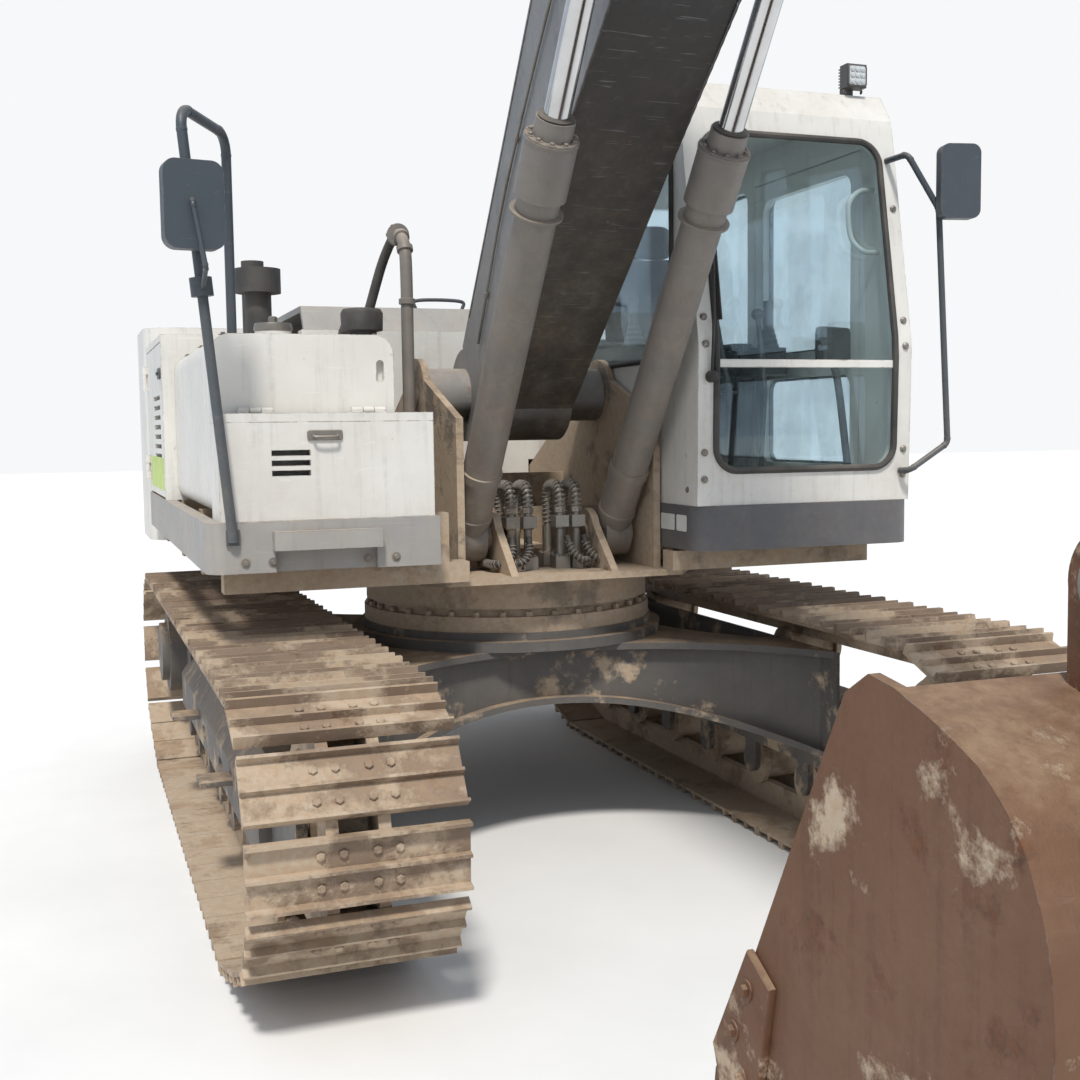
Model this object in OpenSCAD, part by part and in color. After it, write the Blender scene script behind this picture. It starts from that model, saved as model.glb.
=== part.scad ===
// Crawler excavator of the twenty tonne class with boom, arm and bucket.
// Millimetres. Front is -Y, +X is the machine's left (cab side), the ground is Z 0.

/* [Undercarriage] */
// Distance between the track centre lines
gauge = 2200; // [2000:10:2400]
// Width of a track shoe
shoe_w = 600; // [500:10:700]
// Distance between the idler and sprocket axles
axle_base = 3350; // [3200:10:3450]
// Number of shoes in one track; the chain's pitch follows from it
shoes = 46; // [44:1:49]
// Radius of the chain's pin circle round idler and sprocket
pin_r = 315; // [305:1:325]
// Height of the grousers over the shoe plate
grouser_h = 26; // [20:1:30]
// Number of track rollers on one side
roller_count = 7; // [6:1:8]
// Thickness of the carbody's top and bottom plates
carbody_plate = 25; // [16:1:30]

/* [Upper structure] */
// Underside of the revolving frame above the ground
deck_z = 1080; // [1050:5:1110]
// Width of the upper structure
house_w = 2710; // [2600:10:2800]
// Swing radius of the counterweight's rear face
tail_r = 2750; // [2650:10:2850]
// Top of the engine hood above the ground
hood_z = 2250; // [2180:10:2300]
// Thickness of sheet metal panels and doors
sheet = 30; // [20:1:40]
// Thickness of the two main plates that carry the boom
main_plate = 28; // [20:1:30]

/* [Cab] */
// Width of the cab
cab_w = 930; // [880:10:960]
// Top of the cab roof above the ground
cab_top_z = 2960; // [2900:10:3020]
// Thickness of the cab's walls
cab_wall = 45; // [36:1:60]
// Thickness of the window panes
pane = 6; // [5:1:8]

/* [Boom] */
// Distance from the boom's foot pin to its tip pin
boom_l = 5680; // [5600:10:5760]
// Angle of the line between these pins above level, as parked
boom_deg = 20.2; // [18:0.1:24]
// Width of the boom's box section
boom_w = 412; // [380:2:414]
// Outer diameter of a boom cylinder's barrel
boom_barrel_d = 145; // [135:1:150]
// Diameter of a boom cylinder's rod
boom_rod_d = 85; // [75:1:95]

/* [Arm] */
// Distance from the arm's pivot to the bucket pin
arm_l = 2920; // [2860:10:2980]
// Angle of the arm from the vertical, tucked towards the machine, as parked
arm_deg = 35.8; // [32:0.1:37]
// Width of the arm's box section
arm_w = 330; // [300:5:340]
// Outer diameter of the arm cylinder's barrel
arm_barrel_d = 160; // [145:1:170]
// Diameter of the arm cylinder's rod
arm_rod_d = 95; // [85:1:105]

/* [Bucket] */
// Width of the bucket over its side plates
bucket_w = 1100; // [900:10:1300]
// Distance from the bucket pin to the tooth tips
tip_r = 1570; // [1500:5:1600]
// Lean of the parked bucket's tooth line from the horizontal
bucket_deg = 62.2; // [40:0.1:75]
// Thickness of the bucket's side plates and wrapper
bucket_t = 24; // [18:1:30]
// Number of bucket teeth
teeth = 5; // [4:1:6]

/* [Hidden] */

$fn = 48;
run = 5;         // clearance between moving pieces
fit = 0.3;       // radial running clearance of a pin in its bush
seat_gap = 0.3;  // gap between pieces that rest on each other

// Track chain and shoes
plate_t = 12;                 // shoe plate
link_top = 60;                // shoe seat above the pin line
link_bottom = 36;             // rail below the pin line
shoe_gap = 4;
tip_h = link_top + plate_t + grouser_h;
axle_y = axle_base / 2;
axle_z = 620 - 90;            // idler and sprocket sit higher than the lower run
run_z = tip_h;                // pin line of the lower run
run_y = axle_y - 330;         // where the lower run bends up towards the axles
track_x = gauge / 2;
frame_w = 330;
tread_r = pin_r - link_bottom;

// Places of the working equipment in a side view: forward, up
boom_foot = [100, deck_z + 720];
cyl_foot = [440, deck_z + 155];
cyl_head = [2420, 860];       // on the boom, along and above its chord
arm_cyl_foot = [3050, 1550];
arm_cyl_head = [-800, 260];   // on the arm, along and outside its line
bucket_cyl_foot = [450, 600];
arm_slot = 400;               // depth of the tail's open space from that pin
rocker_foot = [arm_l - 420, 60];
link_pin = 450;               // bucket pin to link pin
link_deg = 100;               // between the tooth line and the link pin
rocker_l = 620;
link_l = 580;
cyl_x = 304;                  // boom cylinders from the centre line

function turn2(p, a) = [p[0] * cos(a) - p[1] * sin(a), p[0] * sin(a) + p[1] * cos(a)];
function angle2(p, q) = atan2(q[1] - p[1], q[0] - p[0]);
function meet(p, r, q, s) =
  let (d = norm(q - p), a = (r * r - s * s + d * d) / (2 * d), h = sqrt(r * r - a * a),
       u = (q - p) / d)
  p + a * u + h * [-u[1], u[0]];

arm_pin = boom_foot + turn2([boom_l, 0], boom_deg);
arm_dir = 270 - arm_deg;
bucket_pin = arm_pin + turn2([arm_l, 0], arm_dir);
bucket_dir = 180 + bucket_deg;
cyl_head_at = boom_foot + turn2(cyl_head, boom_deg);
arm_cyl_foot_at = boom_foot + turn2(arm_cyl_foot, boom_deg);
arm_cyl_head_at = arm_pin + turn2(arm_cyl_head, arm_dir);
bucket_cyl_foot_at = arm_pin + turn2(bucket_cyl_foot, arm_dir);
rocker_at = arm_pin + turn2(rocker_foot, arm_dir);
link_at = bucket_pin + turn2([link_pin, 0], bucket_dir + link_deg);
joint_at = meet(rocker_at, rocker_l, link_at, link_l);
eye_r = 95;
front_reach = arm_cyl_head_at[0] + eye_r + 20;
swing_y = (front_reach - tail_r) / 2;

// Upper structure
deck_t = 25;
floor_z = deck_z + 280;
skirt_z = deck_z + 110;
half_w = house_w / 2;
plate_x = cyl_x + boom_barrel_d / 2 + 10;   // inner face of a main plate
cw_front = 1780;                            // counterweight's front face
bay_front = 760;                            // engine bay's front wall
cab_x = half_w - cab_w;
cab_front = 980;
cab_rear = -720;
glass_lean = 150;

// Everything in the upper structure and undercarriage is drawn round the swing axis.
module on_axis() translate([0, swing_y, 0]) children();

// Turns a side view, drawn forward and up, into a slab between two places across.
module slab(x0, x1) translate([x1, 0, 0]) rotate([90, 0, -90]) linear_extrude(x1 - x0) children();

// Local frame of a pivoted member: its pivot and its direction in the side view.
module member(p, a) on_axis() translate([0, -p[0], p[1]]) rotate([-a, 0, 0]) children();

module both() {
  children();
  mirror([1, 0, 0]) children();
}

module rod_x(x0, x1, r) translate([x0, 0, 0]) rotate([0, 90, 0]) cylinder(h = x1 - x0, r = r);

module pin_at(p, x0, x1, r) translate([0, -p[0], p[1]]) rod_x(x0, x1, r);

module rounded(w, h, r) {
  hull_pts = [[r, r], [w - r, r], [w - r, h - r], [r, h - r]];
  union() {
    translate([r, 0]) square([w - 2 * r, h]);
    translate([0, r]) square([w, h - 2 * r]);
    for (p = hull_pts) translate(p) circle(r);
  }
}

// Half of a hinge along Z whose leaf lies on a surface 14 mm behind the pin and points along Y:
// the middle knuckle, or the two outer ones
knuckle_r = 10;
knuckle_off = 14;
knuckle_l = 40;

module hinge_half(middle, dir) {
  for (k = middle ? [0] : [-1, 1]) translate([0, 0, k * (knuckle_l + 1) - knuckle_l / 2]) {
    cylinder(h = knuckle_l, r = knuckle_r);
    translate([-knuckle_off - 1, dir > 0 ? 0 : -9, 0]) cube([knuckle_off + 1, 9, knuckle_l]);
    translate([-knuckle_off - 1, dir > 0 ? 0 : -50, 0]) cube([5, 50, knuckle_l]);
  }
}

module block(x0, x1, y0, y1, z0, z1) translate([x0, y0, z0]) cube([x1 - x0, y1 - y0, z1 - z0]);

// Upright plate with rounded corners in the plan view, between two heights.
module round_block(x0, x1, y0, y1, z0, z1, r)
  translate([x0, y0, z0]) linear_extrude(z1 - z0) rounded(x1 - x0, y1 - y0, r);

// A cylinder that starts at a point and runs along a direction of unit length.
module along(p, v, h, r) translate(p) rotate([0, acos(v[2]), atan2(v[1], v[0])]) cylinder(h = h, r = r);

// A tube along a list of points: a bend of the given radius at each point between, and a
// thin weld bead where bend and straight meet.
module tube_run(pts, r, bend = 55) {
  last = len(pts) - 1;
  bead = 8;
  dir = [for (i = [0 : last - 1]) (pts[i + 1] - pts[i]) / norm(pts[i + 1] - pts[i])];
  turn = [for (i = [0 : last]) i == 0 || i == last ? 0 : acos(dir[i - 1] * dir[i])];
  cut = [for (a = turn) bend * tan(a / 2)];
  for (i = [0 : last - 1])
    along(pts[i] + cut[i] * dir[i], dir[i], norm(pts[i + 1] - pts[i]) - cut[i] - cut[i + 1], r);
  for (i = [1 : 1 : last - 1]) {
    for (d = [-1, 1]) let (v = dir[i - (1 - d) / 2])
      along(pts[i] + (d * cut[i] - bead / 2) * v, v, bead, r + 1.2);
    let (axis = cross(dir[i - 1], dir[i]) / sin(turn[i]), out = cross(dir[i - 1], axis),
         c = pts[i] - cut[i] * dir[i - 1] - bend * out)
      multmatrix([[out[0], dir[i - 1][0], axis[0], c[0]], [out[1], dir[i - 1][1], axis[1], c[1]],
        [out[2], dir[i - 1][2], axis[2], c[2]]])
        rotate_extrude(angle = turn[i]) translate([bend, 0]) circle(r, $fn = 24);
  }
}

// Track chain: the pin line runs along the ground, up a ramp to the idler, over the top and
// down round the sprocket. A place on it is measured along the line from the front ramp's foot.
ramp_rise = axle_z - run_z;
ramp_run = axle_y - run_y;
ramp_far = norm([ramp_run, ramp_rise]);
ramp_l = sqrt(ramp_far * ramp_far - pin_r * pin_r);
ramp_deg = atan2(ramp_rise, ramp_run) - asin(pin_r / ramp_far);
wrap_deg = 180 - ramp_deg;
wrap_l = wrap_deg * PI / 180 * pin_r;
top_l = 2 * axle_y;
half_l = run_y + ramp_l + wrap_l + axle_y;
perimeter = 2 * half_l;
pitch = perimeter / shoes;
wrap_r = sqrt(pin_r * pin_r - pitch * pitch / 4) - link_bottom;

// Front half of the pin line, from the middle of the lower run to the middle of the upper one
function front_half(s) =
  s < run_y ? [-s, run_z] :
  s < run_y + ramp_l ? let (d = s - run_y) [-run_y - d * cos(ramp_deg), run_z + d * sin(ramp_deg)] :
  s < run_y + ramp_l + wrap_l ? let (a = ramp_deg + (s - run_y - ramp_l) / pin_r * 180 / PI)
    [-axle_y - pin_r * sin(a), axle_z - pin_r * cos(a)] :
  [-axle_y + s - run_y - ramp_l - wrap_l, axle_z + pin_r];
function oval(s) = s < half_l ? front_half(s) : let (p = front_half(perimeter - s)) [-p[0], p[1]];
pins = [for (k = [0 : shoes - 1]) oval(k * pitch)];

// A point of link k: along its chord from the middle, and outwards
function on_link(k, s, n) =
  let (p = pins[k], q = pins[(k + 1) % shoes], u = (q - p) / norm(q - p))
  (p + q) / 2 + s * u + n * [-u[1], u[0]];

// Side view of a triple grouser shoe: along, outwards
shoe_half = pitch / 2 - shoe_gap / 2;
shoe_outline = [[-1, 0], [-1, 1], [-0.9, 1], [-0.83, 0.32], [-0.09, 0.32], [-0.05, 0.9],
  [0.05, 0.9], [0.09, 0.32], [0.83, 0.32], [0.9, 1], [1, 1], [1, 0]];

module track() {
  rail_w = 34;
  rail_x = 70;
  ring_out = [for (k = [0 : shoes - 1]) for (s = [-0.4, 0.4]) on_link(k, s * pitch, link_top + 2)];
  ring_in = [for (k = [0 : shoes - 1]) for (s = [-0.3, 0.3]) on_link(k, s * pitch, -link_bottom)];
  color([0.62, 0.5, 0.38]) {
    for (k = [0 : shoes - 1]) rotate([90, 0, 90]) linear_extrude(shoe_w, center = true)
      polygon([for (p = shoe_outline)
        on_link(k, p[0] * shoe_half, link_top + p[1] * (tip_h - link_top))]);
    for (side = [-1, 1])
      translate([side * rail_x, 0, 0]) rotate([90, 0, 90]) linear_extrude(rail_w, center = true)
        difference() {
          polygon(ring_out);
          polygon(ring_in);
        }
  }
}

module track_left() on_axis() translate([track_x, 0, 0]) track();

module track_right() on_axis() translate([-track_x, 0, 0]) track();

// Track frame: box beam with a sloped top, idler fork, motor mount and roller brackets
track_roller_r = 78;
rail_z = run_z + link_bottom;
beam_z0 = rail_z + 2 * track_roller_r + 30;
beam_z1 = 585;
beam_y = axle_y - tread_r - 70;

roller_w = 230;
motor_r = 205;
roller_span = 2 * run_y - 170;
roller_y = [for (k = [0 : roller_count - 1]) -roller_span / 2 + k * roller_span / (roller_count - 1)];
roller_z = rail_z + track_roller_r + seat_gap;

module track_frame(out) {
  fork_x = 110;
  color([0.42, 0.38, 0.33]) {
    difference() {
      translate([0, beam_y, 0]) rotate([90, 0, 0]) linear_extrude(2 * beam_y)
        polygon([[-frame_w / 2, beam_z0], [frame_w / 2, beam_z0], [frame_w / 2, beam_z1 - 110],
          [frame_w / 2 - 75, beam_z1], [-frame_w / 2 + 75, beam_z1],
          [-frame_w / 2, beam_z1 - 110]]);
      // Oval openings on the outer side that show the hollow beam
      for (y = [-880, -300, 300]) translate([out * frame_w / 2, y, beam_z0 + 72]) rotate([0, 90, 0])
        linear_extrude(90, center = true) translate([-26, -60]) rounded(52, 120, 25);
    }
    for (side = [-1, 1]) {
      translate([side * fork_x, 0, 0]) {
        slab(-16, 16) polygon([[beam_y - 60, beam_z0 + 10], [axle_y - 130, axle_z - 105],
          [axle_y + 120, axle_z - 70], [axle_y + 120, axle_z + 60], [axle_y - 200, axle_z + 85],
          [beam_y - 60, beam_z1 - 20]]);
        slab(-16, 16) polygon([[-beam_y + 60, beam_z0 + 10], [-axle_y + motor_r + seat_gap, axle_z - 120],
          [-axle_y + motor_r + seat_gap, axle_z + 100], [-beam_y + 60, beam_z1 - 20]]);
      }
      // Brackets that hold the track rollers
      for (y = roller_y) translate([side * (roller_w / 2 + seat_gap + 12), y, 0]) {
        block(-12, 12, -45, 45, roller_z, beam_z0 + 5);
        translate([0, 0, roller_z]) rod_x(-12, 12, 45);
      }
    }
    // Step brackets on the outer side
    for (y = [-640, 520]) translate([out * (frame_w / 2 + 55), y, beam_z1 - 160])
      block(-60, 60, -70, 70, -9, 9);
  }
}

module track_frames() on_axis() {
  translate([track_x, 0, 0]) track_frame(1);
  translate([-track_x, 0, 0]) track_frame(-1);
}

module idler() {
  color([0.4, 0.36, 0.31]) rotate([0, 90, 0]) difference() {
    union() {
      cylinder(h = 84, r = wrap_r + 22, center = true);
      cylinder(h = 170, r = wrap_r - seat_gap, center = true);
      cylinder(h = 187.4, r = 95, center = true);
    }
    for (side = [-1, 1]) translate([0, 0, side * 80]) rotate_extrude()
      translate([120, -30]) square([wrap_r - 160, 60]);
  }
}

module idlers() on_axis() both() translate([track_x, -axle_y, axle_z]) idler();

// Toothed drive wheel that reaches up between the chain's rails
sprocket_teeth = 21;
tooth_form = [[-0.36, -34], [-0.15, 26], [0.15, 26], [0.36, -34]];

module sprocket() color([0.4, 0.36, 0.31]) rotate([0, 90, 0]) linear_extrude(70, center = true)
  polygon([for (k = [0 : sprocket_teeth - 1]) for (p = tooth_form)
    let (a = (k + p[0]) * 360 / sprocket_teeth, r = tread_r + p[1]) [r * cos(a), r * sin(a)]]);

module sprockets() on_axis() both() translate([track_x, axle_y, axle_z]) sprocket();

// Double flanged roller
module roller(r, w) color([0.33, 0.3, 0.27]) rotate([0, 90, 0]) {
  cylinder(h = w, r = r, center = true);
  for (side = [-1, 1]) translate([0, 0, side * (w / 2 - 11)])
    cylinder(h = 22, r = r + 20, center = true);
}

carrier_r = 62;
carrier_z = axle_z + pin_r - link_bottom - carrier_r - seat_gap;
carrier_y = [-650, 650];
bracket_z = beam_z1 - 110 * (114 - frame_w / 2 + 75) / 75 + seat_gap;

module track_rollers() on_axis() both() for (y = roller_y)
  translate([track_x, y, roller_z]) roller(track_roller_r, roller_w);

module carrier_rollers() on_axis() both()
  for (y = carrier_y) {
    translate([track_x, y, carrier_z]) roller(carrier_r, roller_w);
    color([0.42, 0.38, 0.33]) {
      block(track_x - 138, track_x - 114, y - 40, y + 40, bracket_z, carrier_z);
      translate([0, y, carrier_z]) rod_x(track_x - 138, track_x - 114, 40);
    }
  }

// Travel motor and its reduction gear inside the sprocket
module travel_motors() on_axis() both()
  translate([track_x, axle_y, axle_z]) color([0.36, 0.33, 0.3]) {
    rod_x(35 + seat_gap, 205, motor_r);
    rod_x(205, 240, 150);
    rod_x(-175, -35 - seat_gap, motor_r);
    rod_x(-300, -175, 120);
  }

// Carbody: plan view of the X frame, its edges drawn in by an inset
leg_y = 1150;
waist = 560;
body_x = track_x - frame_w / 2 - seat_gap;
carbody_z0 = 370;
carbody_z1 = 800;
arch_rise = 200;
web_inset = 45;

function arc_r(half, depth) = (half * half + depth * depth) / (2 * depth);

module carbody_plan(inset) {
  front_r = arc_r(body_x, leg_y - waist);
  side_depth = 330;
  side_r = arc_r(leg_y - 380, side_depth);
  difference() {
    square([2 * body_x, 2 * (leg_y - inset)], center = true);
    for (side = [-1, 1]) {
      translate([0, side * (waist + front_r)]) circle(front_r + inset, $fn = 120);
      translate([side * (body_x - side_depth + side_r), 0]) circle(side_r + inset, $fn = 120);
    }
  }
}

// Arched space under the legs, as a side view across the machine
module arch(grow) rotate([90, 0, 0]) linear_extrude(2 * leg_y + 2, center = true) {
  r = arc_r(body_x, arch_rise);
  translate([0, carbody_z0 + arch_rise - r]) circle(r + grow, $fn = 200);
}

module car_body() on_axis() {
  color([0.5, 0.42, 0.33]) difference() {
    union() {
      translate([0, 0, carbody_z1 - carbody_plate]) linear_extrude(carbody_plate) carbody_plan(0);
      // Webs stand back from the edges of the top plate and the arched bottom flange
      translate([0, 0, carbody_z0]) linear_extrude(carbody_z1 - carbody_z0 - carbody_plate)
        carbody_plan(web_inset);
      intersection() {
        translate([0, 0, carbody_z0]) linear_extrude(carbody_z1 - carbody_z0 - carbody_plate)
          carbody_plan(0);
        arch(carbody_plate);
      }
      for (side = [-1, 1]) block(side * body_x - 12, side * body_x + 12, -leg_y, leg_y, carbody_z0 - 30, carbody_z1);
      translate([0, 0, carbody_z1]) cylinder(h = 40, r = 660, $fn = 120);
      translate([0, 0, carbody_z1]) cylinder(h = 70, r = 620, $fn = 120);
    }
    translate([0, 0, carbody_z0 - 1]) cylinder(h = 500, r = 330);
    arch(0);
    for (side = [-1, 1]) block(side * (body_x + 60) - 60, side * (body_x + 60) + 60, -leg_y - 1, leg_y + 1, 0, 900);
  }
}

bearing_z0 = carbody_z1 + 70 + seat_gap;
bearing_split = bearing_z0 + 90;

module swing_bearing() on_axis() color([0.45, 0.38, 0.3]) {
  difference() {
    union() {
      translate([0, 0, bearing_z0]) cylinder(h = 60, r = 610, $fn = 96);
      translate([0, 0, bearing_z0 + 60]) cylinder(h = 30, r = 575, $fn = 96);
      for (k = [0 : 35]) rotate(k * 10) translate([590, 0, bearing_z0 + 60])
        cylinder(h = 18, r = 14, $fn = 6);
    }
    translate([0, 0, bearing_z0 - 1]) cylinder(h = 200, r = 470, $fn = 96);
  }
}

// Revolving frame: bottom plate, two main plates with the boom foot, cylinder lugs, outriggers
foot_boss_r = 150;
lug_t = 30;
lug_x = cyl_x - boom_barrel_d / 2 - 12 - lug_t;
nose = 740;

module main_plate_outline() {
  difference() {
    union() {
      polygon([[nose - 60, deck_z + deck_t], [nose - 60, deck_z + 620], [boom_foot[0] + 20, boom_foot[1] + 100],
        [boom_foot[0] - 140, boom_foot[1] + 50], [-900, deck_z + 330], [-cw_front + 60, deck_z + 260],
        [-cw_front - 500, deck_z + 260],
        [-cw_front - 500, deck_z + deck_t]]);
      translate(boom_foot) circle(foot_boss_r);
    }
    translate([-450, deck_z + 190]) circle(90);
  }
}

module main_frame() on_axis() {
  color([0.66, 0.55, 0.42]) {
    difference() {
      union() {
        translate([0, 0, deck_z]) linear_extrude(deck_t) difference() {
          polygon([[-480, -nose], [480, -nose], [700, -430], [700, cw_front + 520],
            [-700, cw_front + 520], [-700, -430]]);
          circle(330);
        }
        both() slab(plate_x, plate_x + main_plate) main_plate_outline();
        block(-plate_x, plate_x, 300, 330, deck_z + deck_t, deck_z + 380);
        block(-plate_x, plate_x, -300, -275, deck_z + deck_t, deck_z + 260);
        translate([0, 0, bearing_split + seat_gap]) cylinder(h = deck_z - bearing_split, r = 600, $fn = 96);
      }
      translate([0, 0, bearing_split]) cylinder(h = 300, r = 440);
    }
    both() slab(lug_x, lug_x + lug_t) {
      translate(cyl_foot) circle(100);
      polygon([[nose - 20, deck_z + deck_t - 1], [cyl_foot[0] + 90, cyl_foot[1] + 40],
        [cyl_foot[0] - 90, cyl_foot[1] + 40], [290, deck_z + 260], [290, deck_z + deck_t - 1]]);
    }
    // Outriggers that carry cab, tank and doors
    for (y = [-760, -60, 790, 1700]) both() {
      block(plate_x + main_plate - 5, half_w - 70, y - 45, y + 45, deck_z + deck_t, skirt_z - 10);
      block(cab_x + 60, half_w - 70, y - 45, y + 45, skirt_z - 11, floor_z - seat_gap);
    }
  }
  color([0.5, 0.5, 0.5]) {
    pin_at(boom_foot, -plate_x - main_plate - 6, plate_x + main_plate + 6, 55);
    both() pin_at(cyl_foot, lug_x - 12, plate_x + main_plate + 4, 45);
  }
}

lift_floor = deck_z + 900;    // floor of the counterweight's lifting bores

// Counterweight: rear face on the tail radius
module counterweight() on_axis() color([0.72, 0.71, 0.68]) {
  difference() {
    intersection() {
      translate([0, 0, deck_z + 20]) cylinder(h = hood_z - deck_z - 60, r = tail_r, $fn = 160);
      round_block(-half_w, half_w, cw_front, tail_r + 400, deck_z + 20, hood_z - 40, 160);
    }
    block(-720, 720, cw_front - 1, cw_front + 520 + seat_gap, deck_z + 10, deck_z + 260 + seat_gap);
    both() translate([760, tail_r - 380, lift_floor]) cylinder(h = hood_z - lift_floor, r = 30);
  }
  // Fixed halves of the hood's hinges
  for (x = hood_hinge_x) {
    pin_at(hood_pin, x - knuckle_l / 2, x + knuckle_l / 2, knuckle_r);
    slab(x - knuckle_l / 2, x + knuckle_l / 2) polygon([[hood_pin[0], hood_pin[1] + 9],
      [hood_pin[0], hood_pin[1] - 9], [-cw_front - 2, hood_pin[1] - 9], [-cw_front - 2, hood_z - 41],
      [-cw_front - 50, hood_z - 41], [-cw_front - 50, hood_z], [-cw_front - 20, hood_pin[1] + 9]]);
  }
}

// Engine with its pumps and cooler: one plain block in the bay
module engine() on_axis() color([0.25, 0.25, 0.26])
  union() {
    round_block(-780, 700, 1000, 1640, floor_z + 80, hood_z - 240, 60);
    for (x = [-300, 300]) for (y = [1060, 1500])
      block(x - 50, x + 50, y, y + 80, deck_z + deck_t + seat_gap, floor_z + 81);
  }

// Pin of the hood's hinges in the side view
hood_pin = [-cw_front + 30, hood_z + knuckle_off];
hood_hinge_x = [-450, 450];

// Half of a hinge across the machine, its leaf flat and pointing to the front (-1) or rear (1)
module hinge_across(p, middle, dir) translate([0, -p[0], p[1]]) rotate([0, -90, 0]) hinge_half(middle, dir);

module engine_hood() on_axis() color([0.5, 0.51, 0.52]) {
  for (x = hood_hinge_x) translate([x, 0, 0]) hinge_across(hood_pin, false, -1);
  difference() {
    translate([-700, 0, 0]) rotate([90, 0, 90]) linear_extrude(1400)
      polygon([[bay_front + 60, hood_z - 120], [bay_front + 140, hood_z], [cw_front - 40, hood_z],
        [cw_front - 10, hood_z - 60], [cw_front - 10, hood_z - 120], [cw_front - 10 - sheet, hood_z - 120],
        [cw_front - 70, hood_z - sheet], [bay_front + 150, hood_z - sheet], [bay_front + 60 + sheet, hood_z - 120]]);
    for (k = [0 : 5]) block(-420 + k * 70, -390 + k * 70, bay_front + 300, bay_front + 620,
      hood_z - sheet - 1, hood_z + 1);
  }
}

// Fixed panels round the engine bay: front wall, floor rails and shoulders beside the hood
module side_panels() on_axis() color([0.86, 0.85, 0.82]) {
  both() {
    block(720, half_w - 4, bay_front, cw_front - 10, hood_z - 180, hood_z - 180 + sheet);
    block(half_w - 160, half_w - 4, cw_front - 70, cw_front - 10, floor_z, hood_z - 180);
    for (z = side_hinge_z) translate([half_w - 4 + knuckle_off, cw_front - 70, z]) hinge_half(true, 1);
  }
  difference() {
    block(-half_w + 4, half_w - 4, bay_front, bay_front + sheet, floor_z, hood_z - 180);
    both() block(plate_x - 6, plate_x + main_plate + 6, bay_front - 1, bay_front + sheet + 1, floor_z - 1,
      deck_z + 430);
  }
  block(-720, 720, bay_front, bay_front + 100, hood_z - 181, hood_z - 120 - seat_gap);
}

// The left side door of the engine bay with a vent grille
side_hinge_z = [floor_z + 130, hood_z - 310];

module side_door() color([0.86, 0.85, 0.82]) {
  x0 = half_w - sheet - 4;
  difference() {
    block(x0, x0 + sheet, bay_front + sheet + run, cw_front - 70 - seat_gap, floor_z + 10, hood_z - 180 - run);
    for (k = [0 : 7]) block(x0 - 1, x0 + sheet + 1, bay_front + 160, bay_front + 560,
      floor_z + 140 + k * 45, floor_z + 160 + k * 45);
  }
  for (z = side_hinge_z) translate([half_w - 4 + knuckle_off, cw_front - 70, z]) hinge_half(false, -1);
}

module left_side_door() on_axis() side_door();

module right_side_door() on_axis() mirror([1, 0, 0]) side_door();

// Fuel and oil tank on the right, set back behind the toolbox
tank_front = 700;
tank_z = 2000;
tank_x = -650;

module fuel_tank() on_axis() color([0.87, 0.86, 0.83]) {
  difference() {
    translate([0, bay_front - run, 0]) rotate([90, 0, 0]) linear_extrude(bay_front - run + tank_front)
      translate([-half_w + 60, floor_z]) rounded(half_w - 60 + tank_x, tank_z - floor_z, 70);
    translate([-700, -tank_front - 1, tank_z - 130]) rotate([-90, 0, 0])
      linear_extrude(30) translate([-14, -40]) rounded(28, 80, 13);
  }
  translate([-1000, -200, tank_z]) cylinder(h = 45, r = 70);
  // Fixed halves of the lid's hinges
  for (x = lid_hinge_x) {
    pin_at(lid_pin, x - knuckle_l / 2, x + knuckle_l / 2, knuckle_r);
    block(x - knuckle_l / 2, x + knuckle_l / 2, -lid_pin[0], -tank_front + 1, lid_pin[1] - 8, lid_pin[1] + 8);
  }
}

box_z1 = 1690;
lid_pin = [tank_front + knuckle_off, box_z1 + sheet + knuckle_off];
lid_hinge_x = [-1150, -750];

module toolbox() on_axis() color([0.87, 0.86, 0.83]) difference() {
  block(-half_w + 50, -570, -930, -tank_front - 1, floor_z, box_z1);
  block(-half_w + 50 + sheet, -570 - sheet, -930 + sheet, -tank_front - 1 - sheet, floor_z + sheet, box_z1 + 1);
  for (z = [0, 1, 2]) block(-1130, -1000, -931, -929 + sheet, floor_z + 150 + z * 34, floor_z + 168 + z * 34);
}

module toolbox_lid() on_axis() color([0.87, 0.86, 0.83]) {
  block(-half_w + 50, -570, -930, -lid_pin[0] - 2, box_z1 + seat_gap, box_z1 + sheet);
  for (x = lid_hinge_x) translate([x, 0, 0]) hinge_across(lid_pin, false, -1);
}

// Side beams with rounded corners and the step block on the right
module skirt_plan(x0, x1, y0, y1, r) translate([x0, y0]) rounded(x1 - x0, y1 - y0, r);

module deck_skirts() on_axis() color([0.42, 0.43, 0.44]) {
  difference() {
    translate([0, 0, skirt_z]) linear_extrude(floor_z - skirt_z - seat_gap) difference() {
      skirt_plan(-half_w, -500, -960, cw_front + 300, 60);
      skirt_plan(-half_w + 50, -300, -910, cw_front + 400, 20);
      translate([-half_w - 1, cw_front - 10]) square([900, 400]);
      translate([-560, -1000]) square([100, 200]);
    }
    block(-1130, -785, -990, -935, skirt_z - 1, floor_z - 96);
  }
  block(-1140, -775, -1010, -955, floor_z - 95, floor_z - 32);
  translate([0, 0, skirt_z]) linear_extrude(floor_z - skirt_z - seat_gap)
    translate([half_w - 50, 760]) square([50, cw_front - 770]);
}

// Cab: outer side view, leaning front glass
function cab_side(d) = [
  [cab_front - d, floor_z + d], [cab_front + 15 - d, floor_z + 600],
  [cab_front - glass_lean + 15 - d, cab_top_z - 110], [cab_front - glass_lean - 60, cab_top_z - d],
  [cab_rear + 60, cab_top_z - d], [cab_rear + d, cab_top_z - 80], [cab_rear + d, floor_z + d]];

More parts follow.
